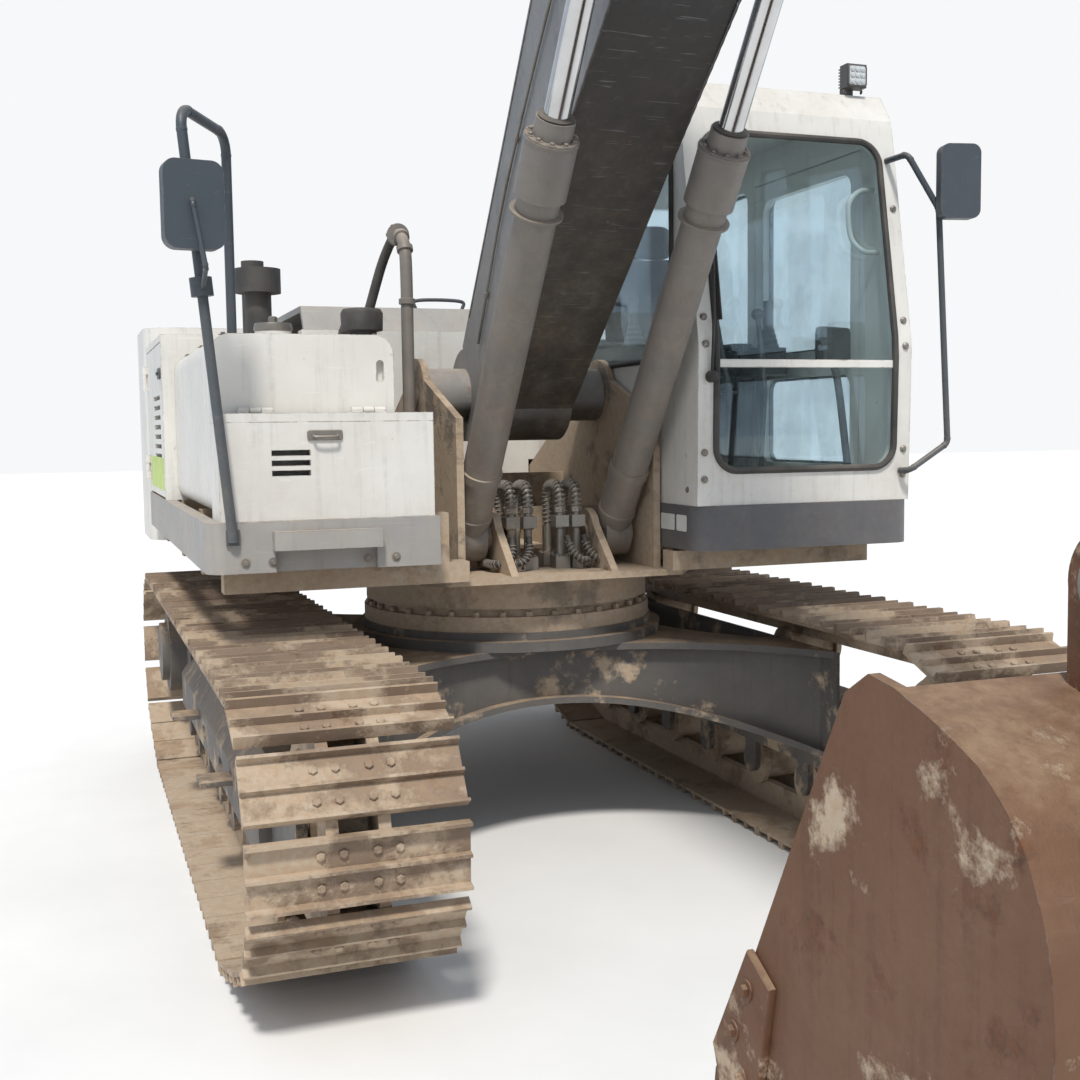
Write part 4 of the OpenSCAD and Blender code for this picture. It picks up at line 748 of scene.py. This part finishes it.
def cushion(place, half, u, v, w, crown):
    """Superellipsoid of the half sizes on axes u, v and w: crowned in the middle, sewn in at two channels.

    Sides are cos and sin raised to small powers; the top swells with (1 - x^2)(1 - y^2) and sinks along
    two narrow channels at 0.55 of the width; the length draws in by 3 % cos^2(pi x).
    """
    a = np.linspace(0.0, 2.0 * math.pi, 48, endpoint=False)
    b = np.linspace(-math.pi / 2, math.pi / 2, 25)
    side = power(np.cos(b), 0.35)[:, None]
    x = side * power(np.cos(a), 0.32)[None] * half[0]
    y = side * power(np.sin(a), 0.32)[None] * half[1]
    z = power(np.sin(b), 0.45)[:, None] * half[2] * np.ones_like(x)
    swell = (1 - (x / half[0]) ** 2) * (1 - (y / half[1]) ** 2)
    channel = 0.5 * crown * np.exp(-((np.abs(x) - 0.55 * half[0]) / 0.012) ** 2)
    z = z * (0.86 + 0.14 * swell) + np.sign(z) * crown * swell - np.where(z > 0, channel, 0)
    y = y * (1.0 - 0.03 * np.cos(math.pi * x / half[0]) ** 2)
    s = Shape()
    s.grid(place + x[..., None] * np.array(u) + y[..., None] * np.array(v) + z[..., None] * np.array(w))
    return s


def seat_cushions():
    """Crowned base, back and head rest in place of the plain seat, on a pan and shell."""
    lean = math.radians(8.0)
    back_up = (0.0, math.sin(lean), math.cos(lean))
    back_out = (0.0, -math.cos(lean), math.sin(lean))
    parts = (("seat_base", (0.175, 0.455), (0.232, 0.232, 0.05), Y, Z, 0.004),
             ("seat_back", (0.447, 0.79), (0.222, 0.27, 0.05), back_up, back_out, 0.004),
             ("head_rest", (0.475, 1.135), (0.125, 0.08, 0.034), Z, FRONT, 0.002))
    for name, (y, up), half, v, w, crown in parts:
        shape = cushion(at(CAB_MID, y, CAB_FLOOR + up), half, X, v, w, crown)
        obj = shape.make(name, "cloth", UPPER, 60.0)
        if name == "seat_base":
            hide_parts("seat")
    s = Shape()
    s.plate(0.46, 0.46, 0.05, (CAB_MID, 0.175, CAB_FLOOR + 0.3995), X, Y, 0.012)
    for k in (-1, 1):
        x = CAB_MID + 0.09 * k
        s.line([(x, 0.475, CAB_FLOOR + 1.02), (x, 0.478, CAB_FLOOR + 1.10)], 6, 0.006, 8)
    s.plate(0.36, 0.44, 0.05, (CAB_MID, 0.505, CAB_FLOOR + 0.78), (-1, 0, 0), back_up, 0.012)
    s.make("seat_frame", "trim", UPPER)


def front_lines(hose):
    """Hoses, spiral wraps and nuts of the pipes between the cylinder feet."""
    nuts, hoses, wraps = Shape(), Shape(), Shape()
    for x, side in ((-0.145, -1), (-0.075, -1), (0.06, 1), (0.13, 1)):
        for y in (-0.50, -0.36):
            for dx, dy in ((-1, -1), (1, -1), (-1, 1), (1, 1)):
                nuts.bolt(at(x + dx * 0.020, y + dy * 0.024, DECK + 0.0753), Z, 0.0065)
        for z in (1.262, 1.325):
            nuts.lathe([(0, 0.019), (0.003, 0.024), (0.022, 0.024), (0.025, 0.019)], at(x, -0.50, z), Z, 6)
        leg = flowing([at(x, y, z) for y, z in ((-0.50, 1.332), (-0.50, 1.40), (-0.47, 1.432), (-0.40, 1.432),
                                                (-0.36, 1.40), (-0.36, 1.28))], 60)
        wraps.tube(coil(leg, 0.0185, 0.017, 10), 0.0042, 6)
        drop = ((0.012, -0.548, 1.235), (0.022, -0.575, 1.18), (0.05, -0.59, 1.145), (0.085, -0.575, 1.137),
                (0.10, -0.50, 1.137), (0.09, -0.33, 1.137))
        path = flowing([at(x + dx * side, y, z) for dx, y, z in drop], 50)
        hoses.tube(path, hose, 12, Z)
        wraps.tube(coil(path[4:-6], hose + 0.0025, 0.015, 10, Z), 0.0032, 6, Z)
    nuts.make("pipe_nuts", "pipe", UPPER)
    hoses.make("foot_hoses", "rubber", UPPER)
    wraps.make("hose_wraps", "wrap", UPPER)


def deck_parts():
    """Filter, tank line, caps, latches, stripe and ring bolts on the upper structure."""
    s = Shape()
    s.lathe([(0, 0.055), (0.03, 0.055), (0.035, 0.078), (0.10, 0.080), (0.115, 0.072), (0.12, 0.03)],
            at(-0.70, -0.42, TANK_Z + 0.0003), Z, 32)
    folds = 0.032 + 0.005 * np.sin(np.arange(60) * 1.25)
    s.line([(-0.70, -0.34, TANK_Z + 0.07), (-0.70, -0.27, TANK_Z + 0.075), (-0.70, -0.16, TANK_Z + 0.05),
            (-0.70, -0.08, TANK_Z - 0.005)], 60, folds, 16)
    s.make("tank_filter", "rubber", UPPER)
    s = Shape()
    elbow = s.line([(-0.50, y, z) for y, z in ((-0.33, 1.11), (-0.33, 1.60), (-0.33, 2.00), (-0.33, 2.26),
                                               (-0.31, 2.37), (-0.25, 2.42), (-0.20, 2.43))], 72, 0.024, 14)
    for t in (30, 46, 57):
        s.lathe([(-0.012, 0.027), (-0.010, 0.032), (0.010, 0.032), (0.012, 0.027)], elbow[t],
                elbow[t + 1] - elbow[t], 18)
    s.lathe([(-0.02, 0.024), (-0.02, 0.044), (0.0, 0.044), (0.002, 0.03)], elbow[-1], Y, 20)
    for a in np.arange(6) * math.pi / 3:
        s.bolt(elbow[-1] + 0.036 * np.array((math.cos(a), 0.0, math.sin(a))), Y, 0.006)
    s.make("tank_line", "cylinder", UPPER)
    s = Shape()
    s.line([(-0.50, -0.198, 2.43), (-0.505, -0.13, 2.42), (-0.53, -0.05, 2.33), (-0.57, 0.0, 2.17),
            (-0.61, 0.02, 2.03), (-0.655, 0.02, 1.93)], 80, 0.020, 14, (0.3, 0.0, 1.0))
    s.make("tank_line_hose", "rubber", UPPER)
    s = Shape()
    s.lathe([(0, 0.072), (0.012, 0.075), (0.03, 0.070), (0.034, 0.03)], at(-1.0, -0.20, TANK_Z + 0.0455), Z, 28)
    s.lathe([(0, 0.018), (0.02, 0.018), (0.024, 0.012)], at(-1.0, -0.20, TANK_Z + 0.079), Z, 12)
    for y in (-0.62, 0.10, 0.70):
        for x in (-1.24, -0.70):
            s.bolt(at(x, y, TANK_Z), Z, 0.009)
    for x in (-1.23, -1.14, -0.82, -0.72):
        s.bolt(at(x, -0.9605, 1.225), FRONT, 0.009)
    s.plate(0.12, 0.035, 0.008, (-0.95, -0.9301, BOX_Z - 0.045), X, Z, 0.008)
    s.line([(-0.99, -0.938, BOX_Z - 0.045), (-0.985, -0.958, BOX_Z - 0.05), (-0.915, -0.958, BOX_Z - 0.05),
            (-0.91, -0.938, BOX_Z - 0.045)], 20, 0.005, 8, Z)
    s.make("deck_fittings", "pipe", UPPER)
    s = Shape()
    s.line([(-0.12, 0.98, HOOD_Z + 0.004), (-0.11, 0.98, HOOD_Z + 0.045), (0.11, 0.98, HOOD_Z + 0.045),
            (0.12, 0.98, HOOD_Z + 0.004)], 24, 0.009, 10, Y)
    s.plate(0.09, 0.05, 0.01, (0.40, 0.94, HOOD_Z + 0.0002), X, Y, 0.010)
    s.make("hood_handle", "tube", "hood")
    for name, side in (("left", 1), ("right", -1)):
        s = Shape()
        x = side * (HALF_W - 0.004)
        s.plate(0.10, 0.05, 0.012, (x, 0.86, 1.93), (0, side, 0), Z, 0.010)
        s.plate(0.05, 0.016, 0.004, (x + side * 0.010, 0.86, 1.93), (0, side, 0), Z, 0.008)
        s.make(name + "_door_latch", "tube", name + "_door")
    s = Shape()
    s.plate(0.82, 0.15, 0.004, (0.004 - HALF_W, 1.225, 1.475), FRONT, Z, 0.0012, 0.0004)
    s.make("door_stripe", "lime", "right_door")
    s = Shape()
    for a in np.arange(RING_BOLTS) * 2.0 * math.pi / RING_BOLTS:
        s.bolt(at(RING_R * math.cos(a), RING_R * math.sin(a), DECK), (0, 0, -1), 0.014)
    s.make("ring_bolts", "frame", UPPER)


def linkage_parts():
    """Gland bolts, bands, keeper plates, weld beads and grease line on cylinders, boom and arm."""
    s = Shape()
    line, up = BOOM_CYL.way(1, 0), BOOM_CYL.way(0, 1)
    bands = [(d, [(-0.014, r), (-0.010, 0.090), (0.0, 0.091), (0.0, r)])
             for d, r in ((1.405, BARREL_R), (1.655, COLLAR_R))]
    bands += [(0.30, [(0, BARREL_R), (0.002, 0.079), (0.038, 0.079), (0.04, BARREL_R)]),
              (0.105, [(0, BARREL_R), (0.003, 0.077), (0.02, 0.077), (0.024, BARREL_R)])]
    for x in (-CYL_X, CYL_X):
        for a in np.arange(10) * math.pi / 5:
            spoke = math.cos(a) * ACROSS + math.sin(a) * up
            s.bolt(BOOM_CYL.place(1.66, 0.0, x) + 0.074 * spoke, line, 0.0085)
        for d, profile in bands:
            s.lathe(profile, BOOM_CYL.place(d, 0, x), line, 40)
        s.slab(rounded(0.035, 0.036, 0.004), BOOM_CYL.place(0.32, 0.078, x), ACROSS, line, 0.03)
        s.bolt(BOOM_CYL.place(0.32, 0.094, x + 0.0176), X, 0.008)
    s.make("cylinder_fittings", "cylinder", "boom_barrels")
    s = Shape()
    for x in (-CYL_X, CYL_X):
        gland = BOOM_CYL.place(1.7205, 0, x)
        s.lathe([(0, 0.0432), (0, 0.058), (0.006, 0.060), (0.010, 0.0432)], gland, line, 32)
    s.make("rod_wipers", "rubber", "boom_barrels")
    s = Shape()
    half = BOOM_W / 2.0
    bead = 0.0042 + 0.0008 * np.sin(np.arange(90) * 2.3)
    beads = (((0.20, 0.26), (1.70, 1.19)), ((0.40, 0.0), (1.98, 0.545)), ((3.10, 0.655), (4.95, 0.02)),
             ((3.10, 1.25), (5.10, 0.37)))
    for side in (-1, 1):
        x = side * half
        eye = [(0, 0.125), (0.010, 0.125), (0.014, 0.119), (0.014, 0.112)]
        s.lathe(eye, BOOM.place(*CYL_HEAD, x), (side, 0, 0), 36)
        for p, q in beads:
            middle = ((p[0] + q[0]) / 2, (p[1] + q[1]) / 2)
            s.tube(flowing(BOOM.places((p, middle, q), x), 90), bead, 6, (0, 1, 0.3))
    s.make("boom_welds", "boom", "boom")
    s = Shape()
    for side in (-1, 1):
        x, out = side * (ARM_W / 2 + 0.085), (side, 0, 0)
        s.lathe([(0, 0.075), (0.012, 0.075), (0.016, 0.068), (0.017, 0.02)], BOOM.place(BOOM_L, 0, x), out, 28)
        for d in (-0.04, 0.04):
            s.bolt(BOOM.place(BOOM_L + d, -d, x + side * 0.016), out, 0.011)
    path = flowing(BOOM.places(((0.30, 0.10), (0.9, 0.52), (1.9, 0.98), (2.36, 0.98)), -half - 0.012), 60)
    s.tube(path, 0.006, 8)
    for t in (6, 22, 40, 55):
        s.lathe([(-0.012, 0.010), (0.012, 0.010)], path[t], path[t + 1] - path[t], 8)
    s.make("boom_fittings", "pipe", "boom")
    s = Shape()
    rocker_at = ARM_L - 0.42
    for side in (-1, 1):
        x, out = side * (ARM_W / 2 + 0.06), (side, 0, 0)
        boss = [(0, 0.062), (0.010, 0.062), (0.014, 0.055), (0.014, 0.02)]
        s.lathe(boss, ARM.place(rocker_at, 0.06, x), out, 24)
        for d in (-0.03, 0.03):
            s.bolt(ARM.place(rocker_at + d, 0.06, x + side * 0.014), out, 0.009)
        x = side * (ARM_W / 2 + 0.075)
        s.lathe([(0, 0.060), (0.010, 0.060), (0.013, 0.052)], ARM.place(ARM_L, 0.0, x), out, 24)
    s.make("arm_fittings", "boom", "arm")


def bucket_parts():
    """Tooth adapters with their pins, and side cutters with their bolts, on the bucket."""
    s = Shape()
    line, up = BUCKET.way(1, 0), BUCKET.way(0, 1)
    adapter = [(-0.06, -0.07), (0.02, -0.052), (0.10, -0.038), (0.10, 0.030), (0.02, 0.044), (-0.06, 0.062)]
    for k in range(5):
        x = -BUCKET_W / 2 + 0.06 + k * (BUCKET_W - 0.12) / 4
        s.slab(adapter, BUCKET.place(TIP_R - 0.22, -0.062, x - 0.056), line, up, -0.112, 0.006)
        s.lathe([(-0.0625, 0.016), (0.0625, 0.016)], BUCKET.place(TIP_R - 0.17, -0.062, x), ACROSS, 14)
    s.make("tooth_adapters", "bucket", "bucket")
    s = Shape()
    cutter = [(0.95, -0.160), (1.24, -0.170), (1.33, -0.06), (1.22, 0.02), (0.95, -0.06)]
    for side in (-1, 1):
        x = side * BUCKET_W / 2
        s.slab(cutter, BUCKET.place(0, 0, x), line, up, -0.018 * side, 0.003)
        for p in ((1.02, -0.12), (1.14, -0.12), (1.20, -0.05)):
            s.bolt(BUCKET.place(*p, x + side * 0.018), (side, 0, 0), 0.013)
    s.make("side_cutters", "bucket", "bucket")


def track_parts(bolt):
    """Bolts of every shoe and thin dark slabs of painted shade where its mud holes are, set on the links
    between the pins, and the frames' labels.

    The pin line is a lower run, a straight ramp tangent to the wrap circle, the wrap round the axle and
    an upper run; its other half is the same curve mirrored fore and aft.
    """
    rise, run = AXLE_Z - RUN_Z, AXLE_Y - RUN_Y
    far = math.hypot(run, rise)
    ramp_l = math.sqrt(far * far - PIN_R * PIN_R)
    ramp = math.atan2(rise, run) - math.asin(PIN_R / far)
    wrap_l = (math.pi - ramp) * PIN_R
    ramp_end, wrap_end = RUN_Y + ramp_l, RUN_Y + ramp_l + wrap_l
    half_l = wrap_end + AXLE_Y

    def front(s):
        """Places (y, z) on the front half at lengths s from the middle of the lower run."""
        d = s - RUN_Y
        a = ramp + (s - RUN_Y - ramp_l) / PIN_R
        parts = [s < RUN_Y, s < ramp_end, s < wrap_end]
        wrap_y, wrap_z = -AXLE_Y - PIN_R * np.sin(a), AXLE_Z - PIN_R * np.cos(a)
        y = np.select(parts, [-s, -RUN_Y - d * math.cos(ramp), wrap_y], -AXLE_Y + s - wrap_end)
        z = np.select(parts, [RUN_Z + 0 * s, RUN_Z + d * math.sin(ramp), wrap_z], AXLE_Z + PIN_R)
        return np.stack((y, z), 1)

    s = np.arange(SHOES) * 2.0 * half_l / SHOES
    back = front(2.0 * half_l - np.maximum(s, half_l)) * (-1.0, 1.0)
    pins = np.where((s < half_l)[:, None], front(np.minimum(s, half_l)), back)
    q = np.roll(pins, -1, 0)
    u = (q - pins) / np.linalg.norm(q - pins, axis=1, keepdims=True)
    n = np.stack((-u[:, 1], u[:, 0]), 1)
    mid = (pins + q) / 2.0
    reach = 0.46 * half_l / SHOES
    for side, name in ((1, "left"), (-1, "right")):
        bolts, holes = Shape(), Shape()
        for k in range(SHOES):
            along = np.array((0.0, u[k, 0], u[k, 1]))
            out = np.array((0.0, n[k, 0], n[k, 1]))
            seat = at(side * TRACK_X, mid[k, 0], mid[k, 1]) + out * SHOE_SEAT
            for dx in SHOE_BOLTS:
                for ds in (-reach, reach):
                    c = seat + along * ds + ACROSS * dx
                    bolts.lathe([(0, bolt), (0.010, bolt), (0.012, bolt - 0.003)], c, out, 6)
            # painted shade: a thin near-black slab stands in for the dark inside of each mud hole
            holes.slab(rounded(0.075, 0.026, 0.0125, 4), seat + along * reach, ACROSS, -along, 0.0012, 0.0004)
        bolts.make(name + "_shoe_bolts", "track", "undercarriage")
        holes.make(name + "_mud_hole_shades", "hollow", "undercarriage")
    s = Shape()
    for side in (-1, 1):
        s.plate(0.075, 0.105, 0.006, (side * (TRACK_X - 0.1653), -1.20, 0.40), (0, side, 0), Z, 0.0015, 0.0004)
    s.make("frame_labels", "label", "undercarriage")


class EXC_OT_finishes(bpy.types.Operator):
    """Give every node of the model its finish"""
    bl_idname = "excavator.finishes"
    bl_label = "Finishes"

    def execute(self, context):
        """Assign the materials to the nodes' slots."""
        MATERIALS.update(make_materials(context.scene.excavator_look))
        for key, nodes in NODE_FINISH.items():
            for node in nodes:
                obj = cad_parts[node]
                if not obj.material_slots:
                    obj.data.materials.append(MATERIALS[key])
                for s in obj.material_slots:
                    s.material = MATERIALS[key]
        return {"FINISHED"}


class EXC_OT_cab_outside(bpy.types.Operator):
    """Seals, door handle, screen bar, wiper, bolts and lamp faces of the cab"""
    bl_idname = "excavator.cab_outside"
    bl_label = "Cab outside"

    def execute(self, context):
        """Make the pieces."""
        cab_outside(context.scene.excavator_look.seal)
        return {"FINISHED"}


class EXC_OT_cab_inside(bpy.types.Operator):
    """Trim, boots, pads and grab loop inside the cab"""
    bl_idname = "excavator.cab_inside"
    bl_label = "Cab inside"

    def execute(self, context):
        """Make the pieces."""
        cab_inside()
        return {"FINISHED"}


class EXC_OT_seat_cushions(bpy.types.Operator):
    """Crowned seat cushions in place of the plain seat"""
    bl_idname = "excavator.seat_cushions"
    bl_label = "Seat cushions"

    def execute(self, context):
        """Make the pieces."""
        seat_cushions()
        return {"FINISHED"}


class EXC_OT_front_lines(bpy.types.Operator):
    """Nuts, hoses and wraps of the pipes at the boom foot"""
    bl_idname = "excavator.front_lines"
    bl_label = "Front lines"

    def execute(self, context):
        """Make the pieces."""
        front_lines(context.scene.excavator_look.hose)
        return {"FINISHED"}


class EXC_OT_deck_parts(bpy.types.Operator):
    """Filter, caps, latches, stripe and bolts of the upper structure"""
    bl_idname = "excavator.deck_parts"
    bl_label = "Deck parts"

    def execute(self, context):
        """Make the pieces."""
        deck_parts()
        return {"FINISHED"}


class EXC_OT_linkage_parts(bpy.types.Operator):
    """Cylinder, boom and arm fittings and weld beads"""
    bl_idname = "excavator.linkage_parts"
    bl_label = "Linkage parts"

    def execute(self, context):
        """Make the pieces."""
        linkage_parts()
        return {"FINISHED"}


class EXC_OT_bucket_parts(bpy.types.Operator):
    """Tooth adapters and side cutters of the bucket"""
    bl_idname = "excavator.bucket_parts"
    bl_label = "Bucket parts"

    def execute(self, context):
        """Make the pieces."""
        bucket_parts()
        return {"FINISHED"}


class EXC_OT_track_parts(bpy.types.Operator):
    """Shoe bolts, painted shade of the mud holes and labels of the tracks"""
    bl_idname = "excavator.track_parts"
    bl_label = "Track parts"

    def execute(self, context):
        """Make the pieces."""
        track_parts(context.scene.excavator_look.bolt)
        return {"FINISHED"}


class EXC_PT_panel(bpy.types.Panel):
    """Sidebar panel with the groups of the finish"""
    bl_label = "Excavator"
    bl_idname = "EXC_PT_panel"
    bl_space_type = "VIEW_3D"
    bl_region_type = "UI"
    bl_category = "Excavator"

    def draw(self, context):
        """List the settings and the operators."""
        scene = context.scene
        for key in ("seal", "hose", "bolt", "white", "grey", "boom", "lime"):
            self.layout.prop(scene.excavator_look, key)
        for key in ("place", "yaw", "pitch", "roll", "lens", "sun"):
            self.layout.prop(scene.excavator_stage, key)
        for op in OPERATORS:
            self.layout.operator(op.bl_idname)


OPERATORS = (EXC_OT_finishes, EXC_OT_cab_outside, EXC_OT_cab_inside, EXC_OT_seat_cushions, EXC_OT_front_lines,
             EXC_OT_deck_parts, EXC_OT_linkage_parts, EXC_OT_bucket_parts, EXC_OT_track_parts, EXC_OT_stage)
CLASSES = (StageProps, LookProps, *OPERATORS, EXC_PT_panel)


def register():
    """Register the classes and the scene settings."""
    for c in CLASSES:
        bpy.utils.register_class(c)
    bpy.types.Scene.excavator_stage = bpy.props.PointerProperty(type=StageProps)
    bpy.types.Scene.excavator_look = bpy.props.PointerProperty(type=LookProps)


def unregister():
    """Remove the scene settings and the classes."""
    del bpy.types.Scene.excavator_look
    del bpy.types.Scene.excavator_stage
    for c in reversed(CLASSES):
        bpy.utils.unregister_class(c)


def main():
    """Build everything on the loaded model."""
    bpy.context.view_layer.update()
    register()
    bpy.ops.excavator.finishes()
    bpy.ops.excavator.cab_outside()
    bpy.ops.excavator.cab_inside()
    bpy.ops.excavator.seat_cushions()
    bpy.ops.excavator.front_lines()
    bpy.ops.excavator.deck_parts()
    bpy.ops.excavator.linkage_parts()
    bpy.ops.excavator.bucket_parts()
    bpy.ops.excavator.track_parts()
    bpy.ops.excavator.stage()


if __name__ == "__main__":
    main()
